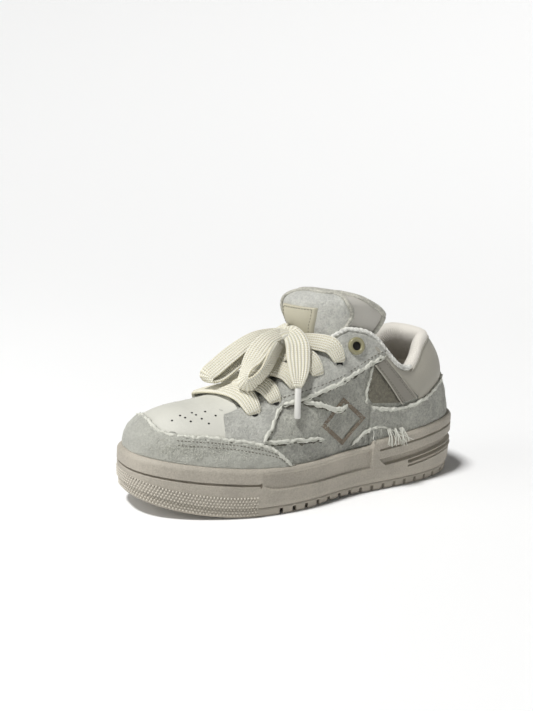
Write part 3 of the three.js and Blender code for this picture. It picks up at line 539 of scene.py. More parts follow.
def bowCord(name, loop, end, nodes):  # one smooth path: knot, loop, knot again, end
    first, last = np.array(bow["route"][loop], float), np.array(bow["route"][end], float)
    heart = np.array([[*bow["knot"], bow["knotWidth"]]])
    rows = np.concatenate([heart + [[0, 0, bow["above"], 0]], first, heart + [[0, 0, bow["below"], 0]], last])
    turned, held = np.array(bow["facing"][loop], float), np.array(bow["facing"][end], float)
    facing = np.concatenate([turned[:1], turned, np.broadcast_to(held, (len(last) + 1, 3))])
    *grid, centre = ribbonGrid(rows[:, :3], rows[:, 3], facing, bow["thick"], bow["ribs"], bow["count"])
    piece = addPiece(name, *grid[:2], laceCloth, grid[2], weld=True)
    length = float(arcLength(centre, 0)[-1])
    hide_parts(*nodes)
    tuple(centre[0] * 0.001)
    [tuple(p) for p in centre * 0.001]
    print(name, round(length), "mm")


def lathePoints(profile, start, axis, count):  # profile of (distance along, radius) turned about an axis
    axis = unit(np.asarray(axis, float))
    side = unit(np.cross(axis, (0.3, 0.2, 0.9)))
    third = np.cross(axis, side)
    angle = np.linspace(0, 2 * math.pi, count, endpoint=False)
    ring = np.cos(angle)[:, None] * side + np.sin(angle)[:, None] * third
    profile = np.asarray(profile, float)
    middle = np.asarray(start, float) + axis * profile[:, None, :1]
    return middle + ring[None] * profile[:, 1, None, None]


def addTip(which):  # plastic tip turned about the line from its head to its foot
    head, foot = [np.array(p, float) for p in bow["tips"][which]]
    long, r = np.linalg.norm(foot - head), bow["tipRadius"]
    profile = [(0, 0.01), (0, r * 0.9), (0.5, r), (long * 0.5, r * 0.96), (long - 0.8, r), (long - 0.1, r * 0.8),
               (long, r * 0.5), (long - 0.6, 0.01)]
    points = lathePoints(profile, head, foot - head, bow["tipSides"])
    piece = addPiece("lace_tip_" + which, points, gridFaces(*points.shape[:2], closeV=True), agletPlastic, weld=True)
    fixNormals(piece)
    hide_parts("aglet_" + which)
    return piece


tips = {which: addTip(which) for which in ("outer", "inner")}
bowCord("bow_cord_Side", "loopSide", "endOuter", ["lace_loop_side", "lace_end_outer"])
bowCord("bow_cord_Front", "loopFront", "endInner", ["lace_loop_front", "lace_end_inner"])


def joinGrids(name, grids, material, weld=False):  # several meshes as one piece
    points, faces, uvs, start = [], [], [], 0
    for grid in grids:
        points.append(grid[0].reshape(-1, 3))
        faces.append(np.asarray(grid[1]) + start)
        uvs.append(grid[2].reshape(-1, 2) if len(grid) > 2 else np.zeros((len(points[-1]), 2)))
        start += len(points[-1])
    return addPiece(name, np.concatenate(points), np.concatenate(faces), material, np.concatenate(uvs), weld=weld)


# Lacing rows: stations of the outer and inner hole, their part of the half width, the crossing's station and lift.
lacing = dict(rows=[(0.703, 0.755, 0.58, 0.73, 2.0), (0.643, 0.665, 0.59, 0.682, 2.2),
                    (0.582, 0.6, 0.615, 0.628, 2.6), (0.52, 0.535, 0.67, 0.575, 3.4),
                    (0.452, 0.465, 0.74, 0.54, 4.4)], thick=3.0, ribs=7, count=90, dive=-3,
              straightWidths=[7, 11, 15, 15.5, 15, 11, 7], crossedWidths=[6, 10, 13.5, 13.5, 13, 12])


def placeOn(side, at, half, lift):  # point and normal at a station and distance from the middle, lifted
    angle = angleAtHalf(side, np.array(at), np.array(half))
    normal = outward(side, np.array(at), angle)
    return formPoint(side, at, angle) + normal * lift, normal


def laceStrand(side, row, straight, over):  # out of its hole, over the panel's edge, across the gap
    outerAt, innerAt, part, cross, lift = row
    start, other = (outerAt, innerAt) if side > 0 else (innerAt, outerAt)
    reach = part * halfAt(side, np.array(start), shoe["rimWidth"])
    gapHalf = float(readTable(throatLine, "half", np.array(min(start, shoe["throatFront"]))))
    edge = 0.62 * reach if straight else max(0.62 * reach, 1.04 * gapHalf)
    clear = shoe["panelLift"] + shoe["panelThick"] + 1 + lacing["thick"] / 2
    end = other if straight else cross + 0.3 * (cross - start)
    middle = (start + end) / 2 if straight else cross
    far = part * halfAt(-side, np.array(end), shoe["rimWidth"]) if straight else 12
    stops = [placeOn(side, start, reach + 2.5, lacing["dive"]), placeOn(side, start, reach + 1.5, clear - 1.2),
             placeOn(side, start * 0.82 + middle * 0.18, edge, clear + 0.4),
             placeOn(side, middle, 2, lift + lacing["thick"] / 2 + over),
             placeOn(-side, end * 0.9 + middle * 0.1, far * 0.9, clear + 0.5 if straight else lift + 1)]
    if straight:
        stops += [placeOn(-side, end, far + 1.5, clear - 1.2), placeOn(-side, end, far + 2.5, lacing["dive"])]
    else:
        stops += [placeOn(-side, end, far + 2, lift + 0.5)]
    places, normals = [p for p, _ in stops], [n for _, n in stops]
    widths = lacing["straightWidths"] if straight else lacing["crossedWidths"]
    return ribbonGrid(places, widths, normals, lacing["thick"], lacing["ribs"], lacing["count"])[:3]


strands = [laceStrand(1, lacing["rows"][0], True, 0)]
strands += [laceStrand(side, row, False, 1.1 if side > 0 else -0.6) for row in lacing["rows"][1:] for side in (1, -1)]
crossings = joinGrids("lacing", strands, laceCloth, weld=True)
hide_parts("lace_crossings")


# Knot: radii along and up, half width, ribs, points round and across.
knotForm = dict(radii=(8.2, 6.2), half=10.0, ribs=7, ribHeight=0.035, round=72, across=41)


def knotWrap():  # band of lace drawn round the middle of the bow: a ring of ribs, oval in section
    turn = np.linspace(0, 2 * math.pi, knotForm["round"], endpoint=False)
    across = np.linspace(-1, 1, knotForm["across"])
    rib = knotForm["ribHeight"] * np.cos(across * math.pi * knotForm["ribs"])
    swell = 1 - 0.16 * across ** 2 + rib + 0.05 * np.sin(2 * turn + 1)[:, None]
    shrink = np.sqrt(np.maximum(0.0, 1 - np.abs(across) ** 4))[None, :] * swell
    x = knotForm["radii"][0] * np.cos(turn)[:, None] * shrink
    z = knotForm["radii"][1] * np.sin(turn)[:, None] * shrink
    y = np.broadcast_to(knotForm["half"] * across, x.shape) + 0.8 * np.sin(turn)[:, None]
    points = np.stack([x, y, z], -1) + np.array(bow["knot"])
    uv = np.stack(np.broadcast_arrays(turn[:, None], (across * 0.5 + 0.5)[None, :]), -1)
    return points, gridFaces(*points.shape[:2], closeU=True), uv


points, faces, uv = knotWrap()
knot = addPiece("bow_knot", points, faces, laceCloth, uv)
fixNormals(knot)
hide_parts("lace_knot")
print("laces ready")


# Cup sole: wall rows from the tread line to the rim, pressed-in lines and panels measured down from the rim.
sole = dict(columns=310, rows=92, toeLine=(9.9, 11.2), toeLineDeep=2.8, toeLineFrom=0.7105, toeNotch=(9.3, 12.6),
            toeNotchDeep=1.3, toeNotchAt=(0.7085, 0.7125), panelFrom=0.352, panelTo=0.705, panelLow=18.6,
            panelDeep=1.9, heelLine=(6.8, 8.0), heelLineDeep=2.2, heelLineTo=0.325, slot=(14.6, 20.0), slotDeep=4.2,
            slotEnd=0.31, barSlot=(21.6, 26.4), barSlotDeep=4.0, barHigh=4.6, barAt=24.5, barHalf=1.6, barEnd=0.22,
            treadLineDeep=0.5, lip=[(3.2, 0.25), (4.3, 0.1), (4.75, -0.6), (4.8, -7.0)], footInset=4.0)


def loopStations(count, extra=()):  # outer side heel to toe, then inner side back, closer together at both ends
    even = (1 - np.cos(np.linspace(0, math.pi, count))) / 2
    at = np.unique(np.round(np.concatenate([even, np.asarray(extra, float)]), 6))
    return np.concatenate([np.ones(len(at)), -np.ones(len(at) - 2)]), np.concatenate([at, at[-2:0:-1]])


def wallBand(value, low, high, soft):  # 1 between two bounds, soft at both
    return easeStep(value - low, soft) * (1 - easeStep(value - high, soft))


def soleCarve(at, z):  # depth pressed into the wall: sum of lines, side panel and slots, each soft at its edges
    drop = rimAt(at) - z
    depth = sole["toeLineDeep"] * wallBand(drop, *sole["toeLine"], 0.5) * easeStep(at - sole["toeLineFrom"], 0.003)
    depth += sole["toeNotchDeep"] * wallBand(drop, *sole["toeNotch"], 0.5) * wallBand(at, *sole["toeNotchAt"], 0.002)
    low = sole["panelLow"] + 5 * np.maximum(0, (at - 0.66) / 0.05) ** 2
    ends = easeStep(at - sole["panelFrom"], 0.0035) * (1 - easeStep(at - sole["panelTo"] + 0.004, 0.02))
    depth += sole["panelDeep"] * ends * easeStep(z - low, 0.9) * easeStep(drop - 2.6, 3.0)
    lineEnd = 1 - easeStep(at - sole["heelLineTo"], 0.003)
    depth += sole["heelLineDeep"] * wallBand(drop, *sole["heelLine"], 0.5) * lineEnd
    deep = sole["slotDeep"] * (1 - 0.3 * np.clip((drop - 15) / 5, 0, 1))
    slantEnd = 1 - easeStep(at - sole["slotEnd"] + (drop - 18) * 0.004, 0.004)
    depth += deep * wallBand(drop, *sole["slot"], 0.7) * slantEnd
    bar = sole["barHigh"] * np.sqrt(np.clip(1 - ((drop - sole["barAt"]) / sole["barHalf"]) ** 2, 0, 1))
    barEnd = 1 - easeStep(at - sole["barEnd"], 0.005)
    depth += (sole["barSlotDeep"] - bar) * wallBand(drop, *sole["barSlot"], 0.6) * barEnd
    line = 7.6 + 0.5 * np.sin(at * 9)
    fine = wallBand(z - floorAt(at), line + 6.3, line + 6.9, 0.5)
    depth += sole["treadLineDeep"] * fine * easeStep(at - 0.735, 0.01)
    return depth


def soleWall(side, at):  # wall rows between tread line and rim, set in by the carving, then the lip over the rim
    part = np.concatenate([np.linspace(0, 0.965, sole["rows"]), [0.985, 1.0]])
    low = floorAt(at) + shoe["treadHeight"] + 0.1
    rim = rimAt(at)
    z = low[:, None] + (rim - low)[:, None] * part[None, :]
    drop = rim[:, None] - z
    bevel = np.interp(part, [0, 0.1, 0.6, 1.0], [1.6, 0.5, 0.0, 0.3])[None, :]
    rimRound = 1.9 * np.clip(1 - drop / 3.2, 0, 1) ** 2.4
    sides, ats = np.broadcast_to(side[:, None], z.shape), np.broadcast_to(at[:, None], z.shape)
    inset = bevel + rimRound + soleCarve(ats, z)
    wall = np.stack([alongAt(ats, inset), middleAt(ats) + sides * halfAt(sides, ats, inset), z], -1)
    lip = []
    for extra, rise in sole["lip"]:
        lip.append(np.stack([alongAt(at, extra), middleAt(at) + side * halfAt(side, at, extra), rim + rise], -1))
    under = sole["footInset"]
    foot = np.stack([alongAt(at, under), middleAt(at) + side * halfAt(side, at, under), low], -1)
    return np.concatenate([foot[:, None], wall, np.stack(lip, 1)], 1)


# Closer stations where the pressed-in shapes end: from, to, count.
carveEnds = [(0.339, 0.357, 19), (0.30, 0.33, 26), (0.212, 0.226, 8), (0.695, 0.717, 23)]
closer = np.concatenate([np.linspace(*ends) for ends in carveEnds])
soleSide, soleAt = loopStations(sole["columns"], closer)
wall = soleWall(soleSide, soleAt)
midsole = addPiece("cup_sole", wall, gridFaces(*wall.shape[:2], closeU=True), rubber, gridUv(wall))
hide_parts("midsole")


def copies(template, faces, places, frames):  # one small mesh repeated with a frame for each place
    points = places[:, None] + np.einsum("kc,ncd->nkd", template, frames)
    start = (np.arange(len(places)) * len(template))[:, None, None]
    return points.reshape(-1, 3), (faces[None] + start).reshape(-1, faces.shape[1])


def dome(rings, sides, flat=1.0):  # low dome standing on its third axis
    lat = np.linspace(0, math.pi / 2, rings + 1)
    lon = np.linspace(0, 2 * math.pi, sides, endpoint=False)
    radius, height = np.cos(lat)[:, None], flat * np.sin(lat)[:, None]
    grid = np.stack([radius * np.cos(lon), radius * np.sin(lon), height * np.ones(sides)], -1)
    return grid.reshape(-1, 3), gridFaces(rings + 1, sides, closeV=True)[:, ::-1]


# Dots round the toe: rows upwards, spacing, radius, height of the first row, station where they start.
dotPart = dict(rows=7, pitch=2.3, rowPitch=2.05, radius=0.74, first=2.4, start=0.715)


def toeDots():  # staggered rows of small domes round the toe, from the tread up to its fine line
    places, frames = [], []
    template, faces = dome(3, 8, 1.1)
    for row in range(dotPart["rows"]):
        turn = np.linspace(math.acos(1 - 2 * dotPart["start"]), math.pi, 3000)
        path = np.concatenate([turn, (2 * math.pi - turn)[::-1][1:]])
        side = np.where(path <= math.pi, 1.0, -1.0)
        at = (1 - np.cos(path)) / 2
        rise = dotPart["first"] + row * dotPart["rowPitch"]
        inset = float(np.interp(rise, [2.4, 6.4, 8.8, 20], [1.75, 1.6, 0.5, 0.1]))
        points = np.stack([alongAt(at, inset), middleAt(at) + side * halfAt(side, at, inset), floorAt(at) + rise], -1)
        length = arcLength(points, 0)
        stops = np.arange(1.0 + (row % 2) * dotPart["pitch"] / 2, length[-1] - 1, dotPart["pitch"])
        centre = np.stack([np.interp(stops, length, points[:, k]) for k in range(3)], -1)
        along = unit(np.stack([np.interp(stops, length, np.gradient(points[:, k])) for k in range(3)], -1))
        out = unit(np.cross(along, (0, 0, 1.0)) * np.array([1, 1, 0]))
        out = np.where(np.sum(out * (centre - np.array([60, 0, 20])), -1, keepdims=True) < 0, -out, out)
        places.append(centre)
        frames.append(np.stack([along, np.cross(out, along), out], 1) * dotPart["radius"])
    return copies(template, faces, np.concatenate(places), np.concatenate(frames))


# dots in a lighter tone than the sole rubber, a painted highlight
dots = addPiece("toe_dots", *toeDots(), dotRubber)

# Tread: low band under the cup, cut across by grooves, hollowed a little under the arch.
treadPart = dict(pitch=10.4, first=-126.0, last=42.0, deep=4.6, inset=1.9, grooveEdges=(-1.36, -1.3, 1.3, 1.36),
                 grooveHalf=1.32, columns=150, archAt=[-38, -30, -14, 2, 10], arch=[0, 1.2, 2.2, 1.2, 0],
                 topInset=6.0, height=6.5, rows=[(1.6, 6.5), (1.75, 4.6), (1.8, 3.0), (1.9, 1.4), (2.3, 0.5),
                                                 (3.4, 0.0), (14.0, 0.0), (28.0, 0.0)])


def treadGrid():  # rows of inset and height down the edge and in under the sole; grooves lift the rows they cut
    groove = np.arange(treadPart["first"], treadPart["last"], treadPart["pitch"])
    span = shoe["length"] - 2 * treadPart["inset"]
    edges = np.concatenate([groove + shift for shift in treadPart["grooveEdges"]]) / span + 0.5
    side, at = loopStations(treadPart["columns"], edges[(edges > 0.002) & (edges < 0.998)])
    x = alongAt(at, treadPart["inset"])
    cut = np.abs(x[:, None] - groove[None, :]).min(1) < treadPart["grooveHalf"]
    grid = []
    for inset, rise in treadPart["rows"]:
        arch = np.interp(x, treadPart["archAt"], treadPart["arch"]) if rise < 1 else 0
        z = floorAt(at) + np.where(cut, max(rise, treadPart["deep"]), rise + arch)
        half = np.maximum(halfAt(side, at, inset), 0)
        grid.append(np.stack([alongAt(at, inset), middleAt(at) + side * half, z], -1))
    middle = np.stack([alongAt(at, treadPart["rows"][-1][0]), middleAt(at), grid[-1][:, 2]], -1)
    under = treadPart["topInset"]
    top = np.stack([alongAt(at, under), middleAt(at) + side * halfAt(side, at, under),
                    floorAt(at) + treadPart["height"]], -1)
    return np.stack([middle] + grid[::-1] + [top], 1)


grid = treadGrid()
outsole = addPiece("tread", grid, gridFaces(*grid.shape[:2], closeU=True), tread, gridUv(grid))
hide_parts("outsole")
print("sole ready")


# Inner sole: flat board on the cup's bed, raised a little round its edge, as rows of inset and height.
insolePart = dict(columns=90, rows=[(8.4, 0.4), (8.2, 3.6), (8.8, 4.5), (12, 4.2), (20, 3.7), (32, 3.5)])


def insoleGrid():  # each row runs round the plan at its inset, the last one closes on the middle line
    side, at = loopStations(insolePart["columns"])
    grid = []
    for inset, rise in insolePart["rows"]:
        half = np.maximum(0, halfAt(side, at, inset))
        grid.append(np.stack([alongAt(at, inset), middleAt(at) + side * half, bedAt(at) + rise], -1))
    grid.append(np.stack([alongAt(at, inset), middleAt(at), bedAt(at) + rise], -1))
    return np.stack(grid, 1)


grid = insoleGrid()
insole = addPiece("inner_sole", grid, gridFaces(*grid.shape[:2], closeU=True), insoleCloth, gridUv(grid))
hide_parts("insole")


# Upper: one hollow shell, outer skin up to the edge, a rounded edge, inner skin down to the bed.
upperPart = dict(columns=210, rows=56, closer=[0.3449, 0.3471, 0.735, 0.7345, 0.38, 0.48, 0.64], lip=0.9,
                 footLift=0.4, wave=0.17, crease=0.30)


def wear(points, normal):  # creases of worn cloth: crossed slow waves, bent by slower ones, tenths of a millimetre
    x, y, z = points[..., 0], points[..., 1], points[..., 2]
    slow = np.sin(x * 0.31 + 1.7 * np.sin(z * 0.17)) * np.sin(z * 0.37 + 0.8 * np.sin(x * 0.11))
    wave = slow + 0.6 * np.sin(x * 0.73 + y * 0.5) * np.sin(z * 0.81)
    fold = np.abs(np.sin(x * 0.19 + 2.2 * np.sin(z * 0.09 + x * 0.021) + y * 0.05)) ** 0.6
    crease = fold * np.sin(z * 0.23 + 1.3 * np.sin(x * 0.07))
    return points + normal * (upperPart["wave"] * wave + upperPart["crease"] * crease)[..., None]


def upperShell():  # skin on the arch, lip at its edge, inner skin one wall inwards; no lip where both sides meet
    side, at = loopStations(upperPart["columns"], upperPart["closer"])
    side, at = side[:, None], at[:, None]
    edge = edgeAngle(side, at)
    angle = edge * np.linspace(0, 1, upperPart["rows"])[None, :] ** 0.8
    sides, ats = np.broadcast_to(side, angle.shape), np.broadcast_to(at, angle.shape)
    normal = surfaceNormal(sides, ats, angle)
    form = formPoint(sides, ats, angle)
    skin, inner = wear(form, normal), form - normal * shoe["wall"]
    foot, innerFoot = skin[:, :1].copy(), inner[:, :1].copy()
    foot[:, 0, 2] = innerFoot[:, 0, 2] = bedAt(at[:, 0]) + upperPart["footLift"]
    top, inTop = skin[:, -1:], inner[:, -1:]
    up = unit(skin[:, -1:] - skin[:, -2:-1])
    lip = (top + inTop) / 2 + up * upperPart["lip"]
    grid = np.concatenate([foot, skin, lip, inner[:, ::-1], innerFoot], 1)
    faces = gridFaces(*grid.shape[:2], closeU=True)
    closed = np.broadcast_to(at >= shoe["throatFront"] - 1e-6, grid.shape[:2]).ravel()
    row = np.broadcast_to(np.arange(grid.shape[1])[None, :], grid.shape[:2]).ravel()
    atLip = (row[faces] == upperPart["rows"] + 1).any(1) & closed[faces].all(1)
    return grid, faces[~atLip]


grid, faces = upperShell()
upper = addPiece("upper_cloth", grid, faces, canvas, gridUv(grid), weld=True)
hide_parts("upper")
print("upper ready")


def panelGrid(side, at, low, high, rows):
    # cloth laid over the upper between two angles for each station, its edges turned down to the upper
    depth = shoe["panelLift"] + shoe["panelThick"]
    side, at = np.asarray(side, float)[:, None], np.asarray(at, float)[:, None]
    part = np.linspace(0, 1, rows)[None, :]
    angle = low[:, None] + (high - low)[:, None] * part
    angle = np.clip(angle, 0.0, math.pi / 2)
    sides, ats = np.broadcast_to(side, angle.shape), np.broadcast_to(at, angle.shape)
    normal = surfaceNormal(sides, ats, angle)
    top = wear(formPoint(sides, ats, angle), normal) + normal * depth
    (lowTop, highTop), (lowNormal, highNormal) = [(v[:, :1], v[:, -1:]) for v in (top, normal)]
    grid = np.concatenate([lowTop - lowNormal * depth, lowTop - lowNormal * shoe["panelRound"], top,
                           highTop - highNormal * shoe["panelRound"], highTop - highNormal * depth], 1)
    first, last = grid[:1].copy(), grid[-1:].copy()
    first[:, 1:-1] -= normal[:1, np.r_[0, 0:rows, rows - 1]] * depth
    last[:, 1:-1] -= normal[-1:, np.r_[0, 0:rows, rows - 1]] * depth
    return np.concatenate([first, grid, last], 0)


def bandTop(line, x):  # height of a side-view line at a distance along, level past its ends
    line = np.array(line, float)
    along, height = line[np.argsort(line[:, 0])].T
    return readTable(dict(at=along, v=height), "v", np.clip(x, along[0], along[-1]))


def sideStations(start, count, through, extra=()):  # from the outer side round toe or heel to the inner side
    turn = np.linspace(math.acos(1 - 2 * start), math.pi if through == "toe" else 0.0, count)
    at = (1 - np.cos(turn)) / 2
    at = np.unique(np.concatenate([at, np.asarray(extra, float)]))
    at = at if through == "toe" else at[::-1]
    return np.concatenate([np.ones(len(at)), -np.ones(len(at) - 1)]), np.concatenate([at, at[-2::-1]])


def stationX(at, z):  # distance along of a station at a height: its place on the plan plus the lean
    return alongAt(at, shoe["rimWidth"]) + leanAt(at, z)


# Toe guard, heel panel, lace panels and straps follow these side views (x, z).
panels = dict(
    guard=[(119.5, 67), (117, 58.6), (106.5, 55.6), (89, 54.4), (73.8, 52.6), (58, 49.6), (45, 44.4), (34, 34),
           (30, 24)],
    counter=[(-38, 65.4), (-43, 63), (-56, 61), (-73, 60.4), (-90.5, 64.6), (-107, 72.5), (-122, 77), (-150, 80)],
    stay=[(-54, 101.6), (-43, 98.4), (-28.5, 91.8), (-11, 84.4), (14, 77.4), (33, 72), (41, 63), (48, 54),
          (53, 48), (60, 46.5), (78, 46.5)],
    strap=[(-41.5, 94.8), (-50, 98), (-81, 66.5), (-68, 64.4)],
    windowLeft=[(-40.5, 66.5), (-36.5, 72), (-35, 78), (-37, 86), (-41.3, 95.2)],
    windowRight=[(-68.5, 64), (-61.7, 71.5), (-55, 79), (-48, 87), (-41.6, 95.2)])


def guardEdge(at):  # angle of the guard's top line; the ridge past the end of the line
    x = stationX(at, 50.0)
    return angleAtHeight(at, np.where(x > 119.0, 200.0, bandTop(panels["guard"], x)))


guardSide, guardAt = sideStations(0.624, 90, "toe", np.linspace(0.91, 0.965, 60))
guardHigh = guardEdge(guardAt)
guardLow = angleAtHeight(guardAt, rimAt(guardAt) + 0.2)
grid = panelGrid(guardSide, guardAt, guardLow, np.maximum(guardHigh, guardLow + 0.01), 40)
guard = addPiece("toe_guard", grid, gridFaces(*grid.shape[:2]), panelCanvas, gridUv(grid))
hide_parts("mudguard")

counterSide, counterAt = sideStations(0.35, 110, "heel")


def counterEdge(at):  # angle of the heel panel's top line, its lean settled in a few rounds
    z = np.full_like(at, 68.0)
    for _ in range(4):
        z = bandTop(panels["counter"], stationX(at, z))
    return angleAtHeight(at, z)


grid = panelGrid(counterSide, counterAt, angleAtHeight(counterAt, rimAt(counterAt) + 0.2), counterEdge(counterAt), 30)
counter = addPiece("heel_panel", grid, gridFaces(*grid.shape[:2]), canvas, gridUv(grid))
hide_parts("heel_counter")


# Ankle leather: station where it starts, fullness between its edges.
ankle = dict(start=0.336, base=0.4, fullness=3.0)


def collarLeather():  # smooth padded leather above the heel panel, behind the strap: swells between its edges
    side, at = sideStations(ankle["start"], 110, "heel")
    edge = edgeAngle(side, at) * 0.996
    low = counterEdge(at) - 0.04
    (topX, topZ), (footX, footZ) = panels["strap"][1:3]
    x = stationX(at, 82.0)
    strapLine = footZ + (x - footX) * (topZ - footZ) / (topX - footX)
    low = np.maximum(low, np.where(x > footX, angleAtHeight(at, np.minimum(strapLine, 112)), 0))
    low = np.minimum(low, edge - 0.02)
    angle = low[:, None] + (edge - low)[:, None] * np.linspace(0, 1, 40)[None, :]
    sides, ats = np.broadcast_to(side[:, None], angle.shape), np.broadcast_to(at[:, None], angle.shape)
    start = np.maximum(low, counterEdge(at))[:, None]
    part = np.clip((angle - start) / np.maximum(edge[:, None] - start, 0.01), 0, 1)
    depth = np.clip((edge[:, None] - start) / 0.3, 0, 1)
    puff = ankle["base"] + ankle["fullness"] * depth * np.maximum(0, np.sin(math.pi * part ** 0.75))
    puff[:, -1] = 0.05
    return formPoint(sides, ats, angle) + surfaceNormal(sides, ats, angle) * puff[..., None]


grid = collarLeather()
collar = addPiece("collar_leather", grid, gridFaces(*grid.shape[:2]), sideLeather, gridUv(grid))


# Lace panels: stations, then distances along where the guard bounds them, the front strip starts and the tip falls.
stayPart = dict(span=(0.2855, 0.794), guardFrom=46, stripFrom=44, stripTo=90, stripHalf=(21.3, 24.3), tipFrom=72,
                tipHeight=67.5, tipFall=2.6)


def stayGrid(side):  # from the side-view line up to the edge of the opening, in front between guard and strip
    at = np.linspace(*stayPart["span"], 160)
    z = np.full_like(at, 90.0)
    for _ in range(4):
        z = bandTop(panels["stay"], stationX(at, z))
    x = stationX(at, 70.0)
    low = np.maximum(angleAtHeight(at, z), np.where(x > stayPart["guardFrom"], guardEdge(at) + 0.012, 0))
    edge = edgeAngle(side, at) * 0.995
    stripHalf = np.interp(x, [stayPart["stripFrom"], stayPart["stripTo"]], stayPart["stripHalf"])
    high = np.where(x > stayPart["stripFrom"], np.minimum(edge, angleAtHalf(side, at, stripHalf)), edge)
    tip = angleAtHeight(at, stayPart["tipHeight"] - (x - stayPart["tipFrom"]) * stayPart["tipFall"])
    high = np.where(x > stayPart["tipFrom"], np.minimum(high, tip), high)
    return at, np.minimum(low, high - 0.005), high


for side, name in ((1, "outer"), (-1, "inner")):
    stayAt, stayLow, stayHigh = stayGrid(side)
    grid = panelGrid(np.full_like(stayAt, side), stayAt, stayLow, stayHigh, 44)
    faces = gridFaces(*grid.shape[:2])
    stay = addPiece("lace_panel_" + name, grid, faces if side > 0 else faces[:, ::-1], stayCanvas, gridUv(grid))
    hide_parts("eyestay_" + name)


def patchGrid(side, left, right, count, rows, lift, thick):  # patch between two side-view lines, edges turned down
    a, b = smoothPath(left, rows), smoothPath(right, rows)
    t = np.linspace(0, 1, count)[:, None, None]
    flat = a[None] * (1 - t) + b[None] * t
    top = sidePoint(side, flat[..., 0], flat[..., 1], np.full(flat.shape[:2], lift + thick))
    low = sidePoint(side, flat[..., 0], flat[..., 1], np.full(flat.shape[:2], 0.0))
    grid = np.concatenate([low[:, :1], top, low[:, -1:]], 1)
    first = np.concatenate([low[:1, :1], low[:1], low[:1, -1:]], 1)
    last = np.concatenate([low[-1:, :1], low[-1:], low[-1:, -1:]], 1)
    return np.concatenate([first, grid, last], 0)


for side, name in ((1, "outer"), (-1, "inner")):
    flip = slice(None, None, -1) if side > 0 else slice(None)
    a, b, c, d = panels["strap"]
    grid = patchGrid(side, [a, d], [b, c], 14, 60, 0.4, 1.5)
    strap = addPiece("strap_" + name, grid, gridFaces(*grid.shape[:2])[:, flip], strapLeather, gridUv(grid))
    fixNormals(strap)
    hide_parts("strap_" + name)
    grid = patchGrid(side, panels["windowLeft"], panels["windowRight"], 40, 50, 0.1, 0.4)
    window = addPiece("suede_window_" + name, grid, gridFaces(*grid.shape[:2])[:, flip], suede, gridUv(grid))
    fixNormals(window)


# Vamp leather: stations, points along and across, height above the upper.
vampPart = dict(span=(0.7365, 0.962), along=90, across=81, lift=0.45)


def vampGrid():  # smooth leather over the toe box, from side to side across the ridge
    at = np.linspace(*vampPart["span"], vampPart["along"])[:, None]
    w = np.linspace(-1, 1, vampPart["across"])[None, :]
    side, ats = np.broadcast_arrays(np.where(w < 0, 1.0, -1.0), at)
    low = np.maximum(guardEdge(ats) - 0.06, 0.2)
    angle = math.pi / 2 - np.abs(w) * (math.pi / 2 - np.minimum(low, 1.3))
    normal = outward(side, ats, np.minimum(angle, math.pi / 2 - 0.004))
    return formPoint(side, ats, angle) + normal * vampPart["lift"]


grid = vampGrid()
vamp = addPiece("toe_leather", grid, gridFaces(*grid.shape[:2]), vampLeather, gridUv(grid))
print("panels ready")


# Tongue: middle of the front face, half width, thickness, wrap of the sides, tilt and turn of each section.
tongueForm = dict(at=[0, 1, 2, 3, 4, 5, 6, 7, 8, 9, 10, 11],
                  x=[66, 52, 36, 22, 10, 3.2, 3.5, 3, 2, 0, -6, -11],
                  y=[3.5, 3.5, 3.5, 3.5, 3.5, 2.5, 1.5, 2.5, 3, 3.5, 3.5, 3.5],
                  z=[70.3, 70.5, 80, 89.5, 99.5, 110, 120, 127, 133, 138.5, 142.5, 144],
                  half=[13, 21, 24, 24, 21.5, 20.5, 25.5, 29, 30, 28, 22, 12],
                  thick=[3, 5, 6, 7, 9, 17, 31, 33, 29, 22, 13, 6],
                  outer=[4, 8, 14, 15, 14, 12, 20, 20, 17, 12, 7, 4], inner=[4, 8, 14, 15, 14, 12, 8, 6, 5, 4, 2, 1],
                  tilt=[70, 65, 60, 55, 48, 28, 8, 0, 0, 0, 0, 0], yaw=[0, 0, 0, 0, 3, 6, 16, 24, 26, 26, 24, 22])
tonguePart = dict(frontSeam=38.0, backSeam=-13.0, top=11.0, rows=150, ropeFrom=4.6, ropeLift=0.5)


def tonguePoint(v, across, depth):  # front middle, across by the half width in the yaw, back by depth and wrap
    row = {name: readTable(tongueForm, name, v) for name in ("x", "y", "z", "half", "outer", "inner", "tilt", "yaw")}
    lean, turn = np.radians(row["tilt"]), np.radians(row["yaw"])
    back = depth + np.where(across < 0, row["inner"], row["outer"]) * across * across
    reach = row["half"] * across
    return np.stack([row["x"] - reach * np.sin(turn) - back * np.cos(lean), row["y"] + reach * np.cos(turn),
                     row["z"] - back * np.sin(lean)], -1)


def tongueSkin(v, degrees, lift=0.0):  # padded section at a turn round it: 90 front, 0 outer side, -90 back
    turn = np.radians(degrees)
    across = np.sign(np.cos(turn)) * np.abs(np.cos(turn)) ** 0.8
    thick = readTable(tongueForm, "thick", v)
    depth = thick * (0.5 - 0.5 * np.sign(np.sin(turn)) * np.abs(np.sin(turn)) ** 0.7)
    point = tonguePoint(v, across, depth)
    if np.any(lift):
        heart = tonguePoint(v, across * 0.0, thick * 0.5)
        point = point + unit(point - heart) * np.asarray(lift)[..., None]
    return point


def tongueStrip(start, stop, count):  # part of the skin between two turns, from foot to top
    v = np.linspace(0, tonguePart["top"], tonguePart["rows"])[:, None]
    return tongueSkin(*np.broadcast_arrays(v, np.linspace(start, stop, count)[None, :]))


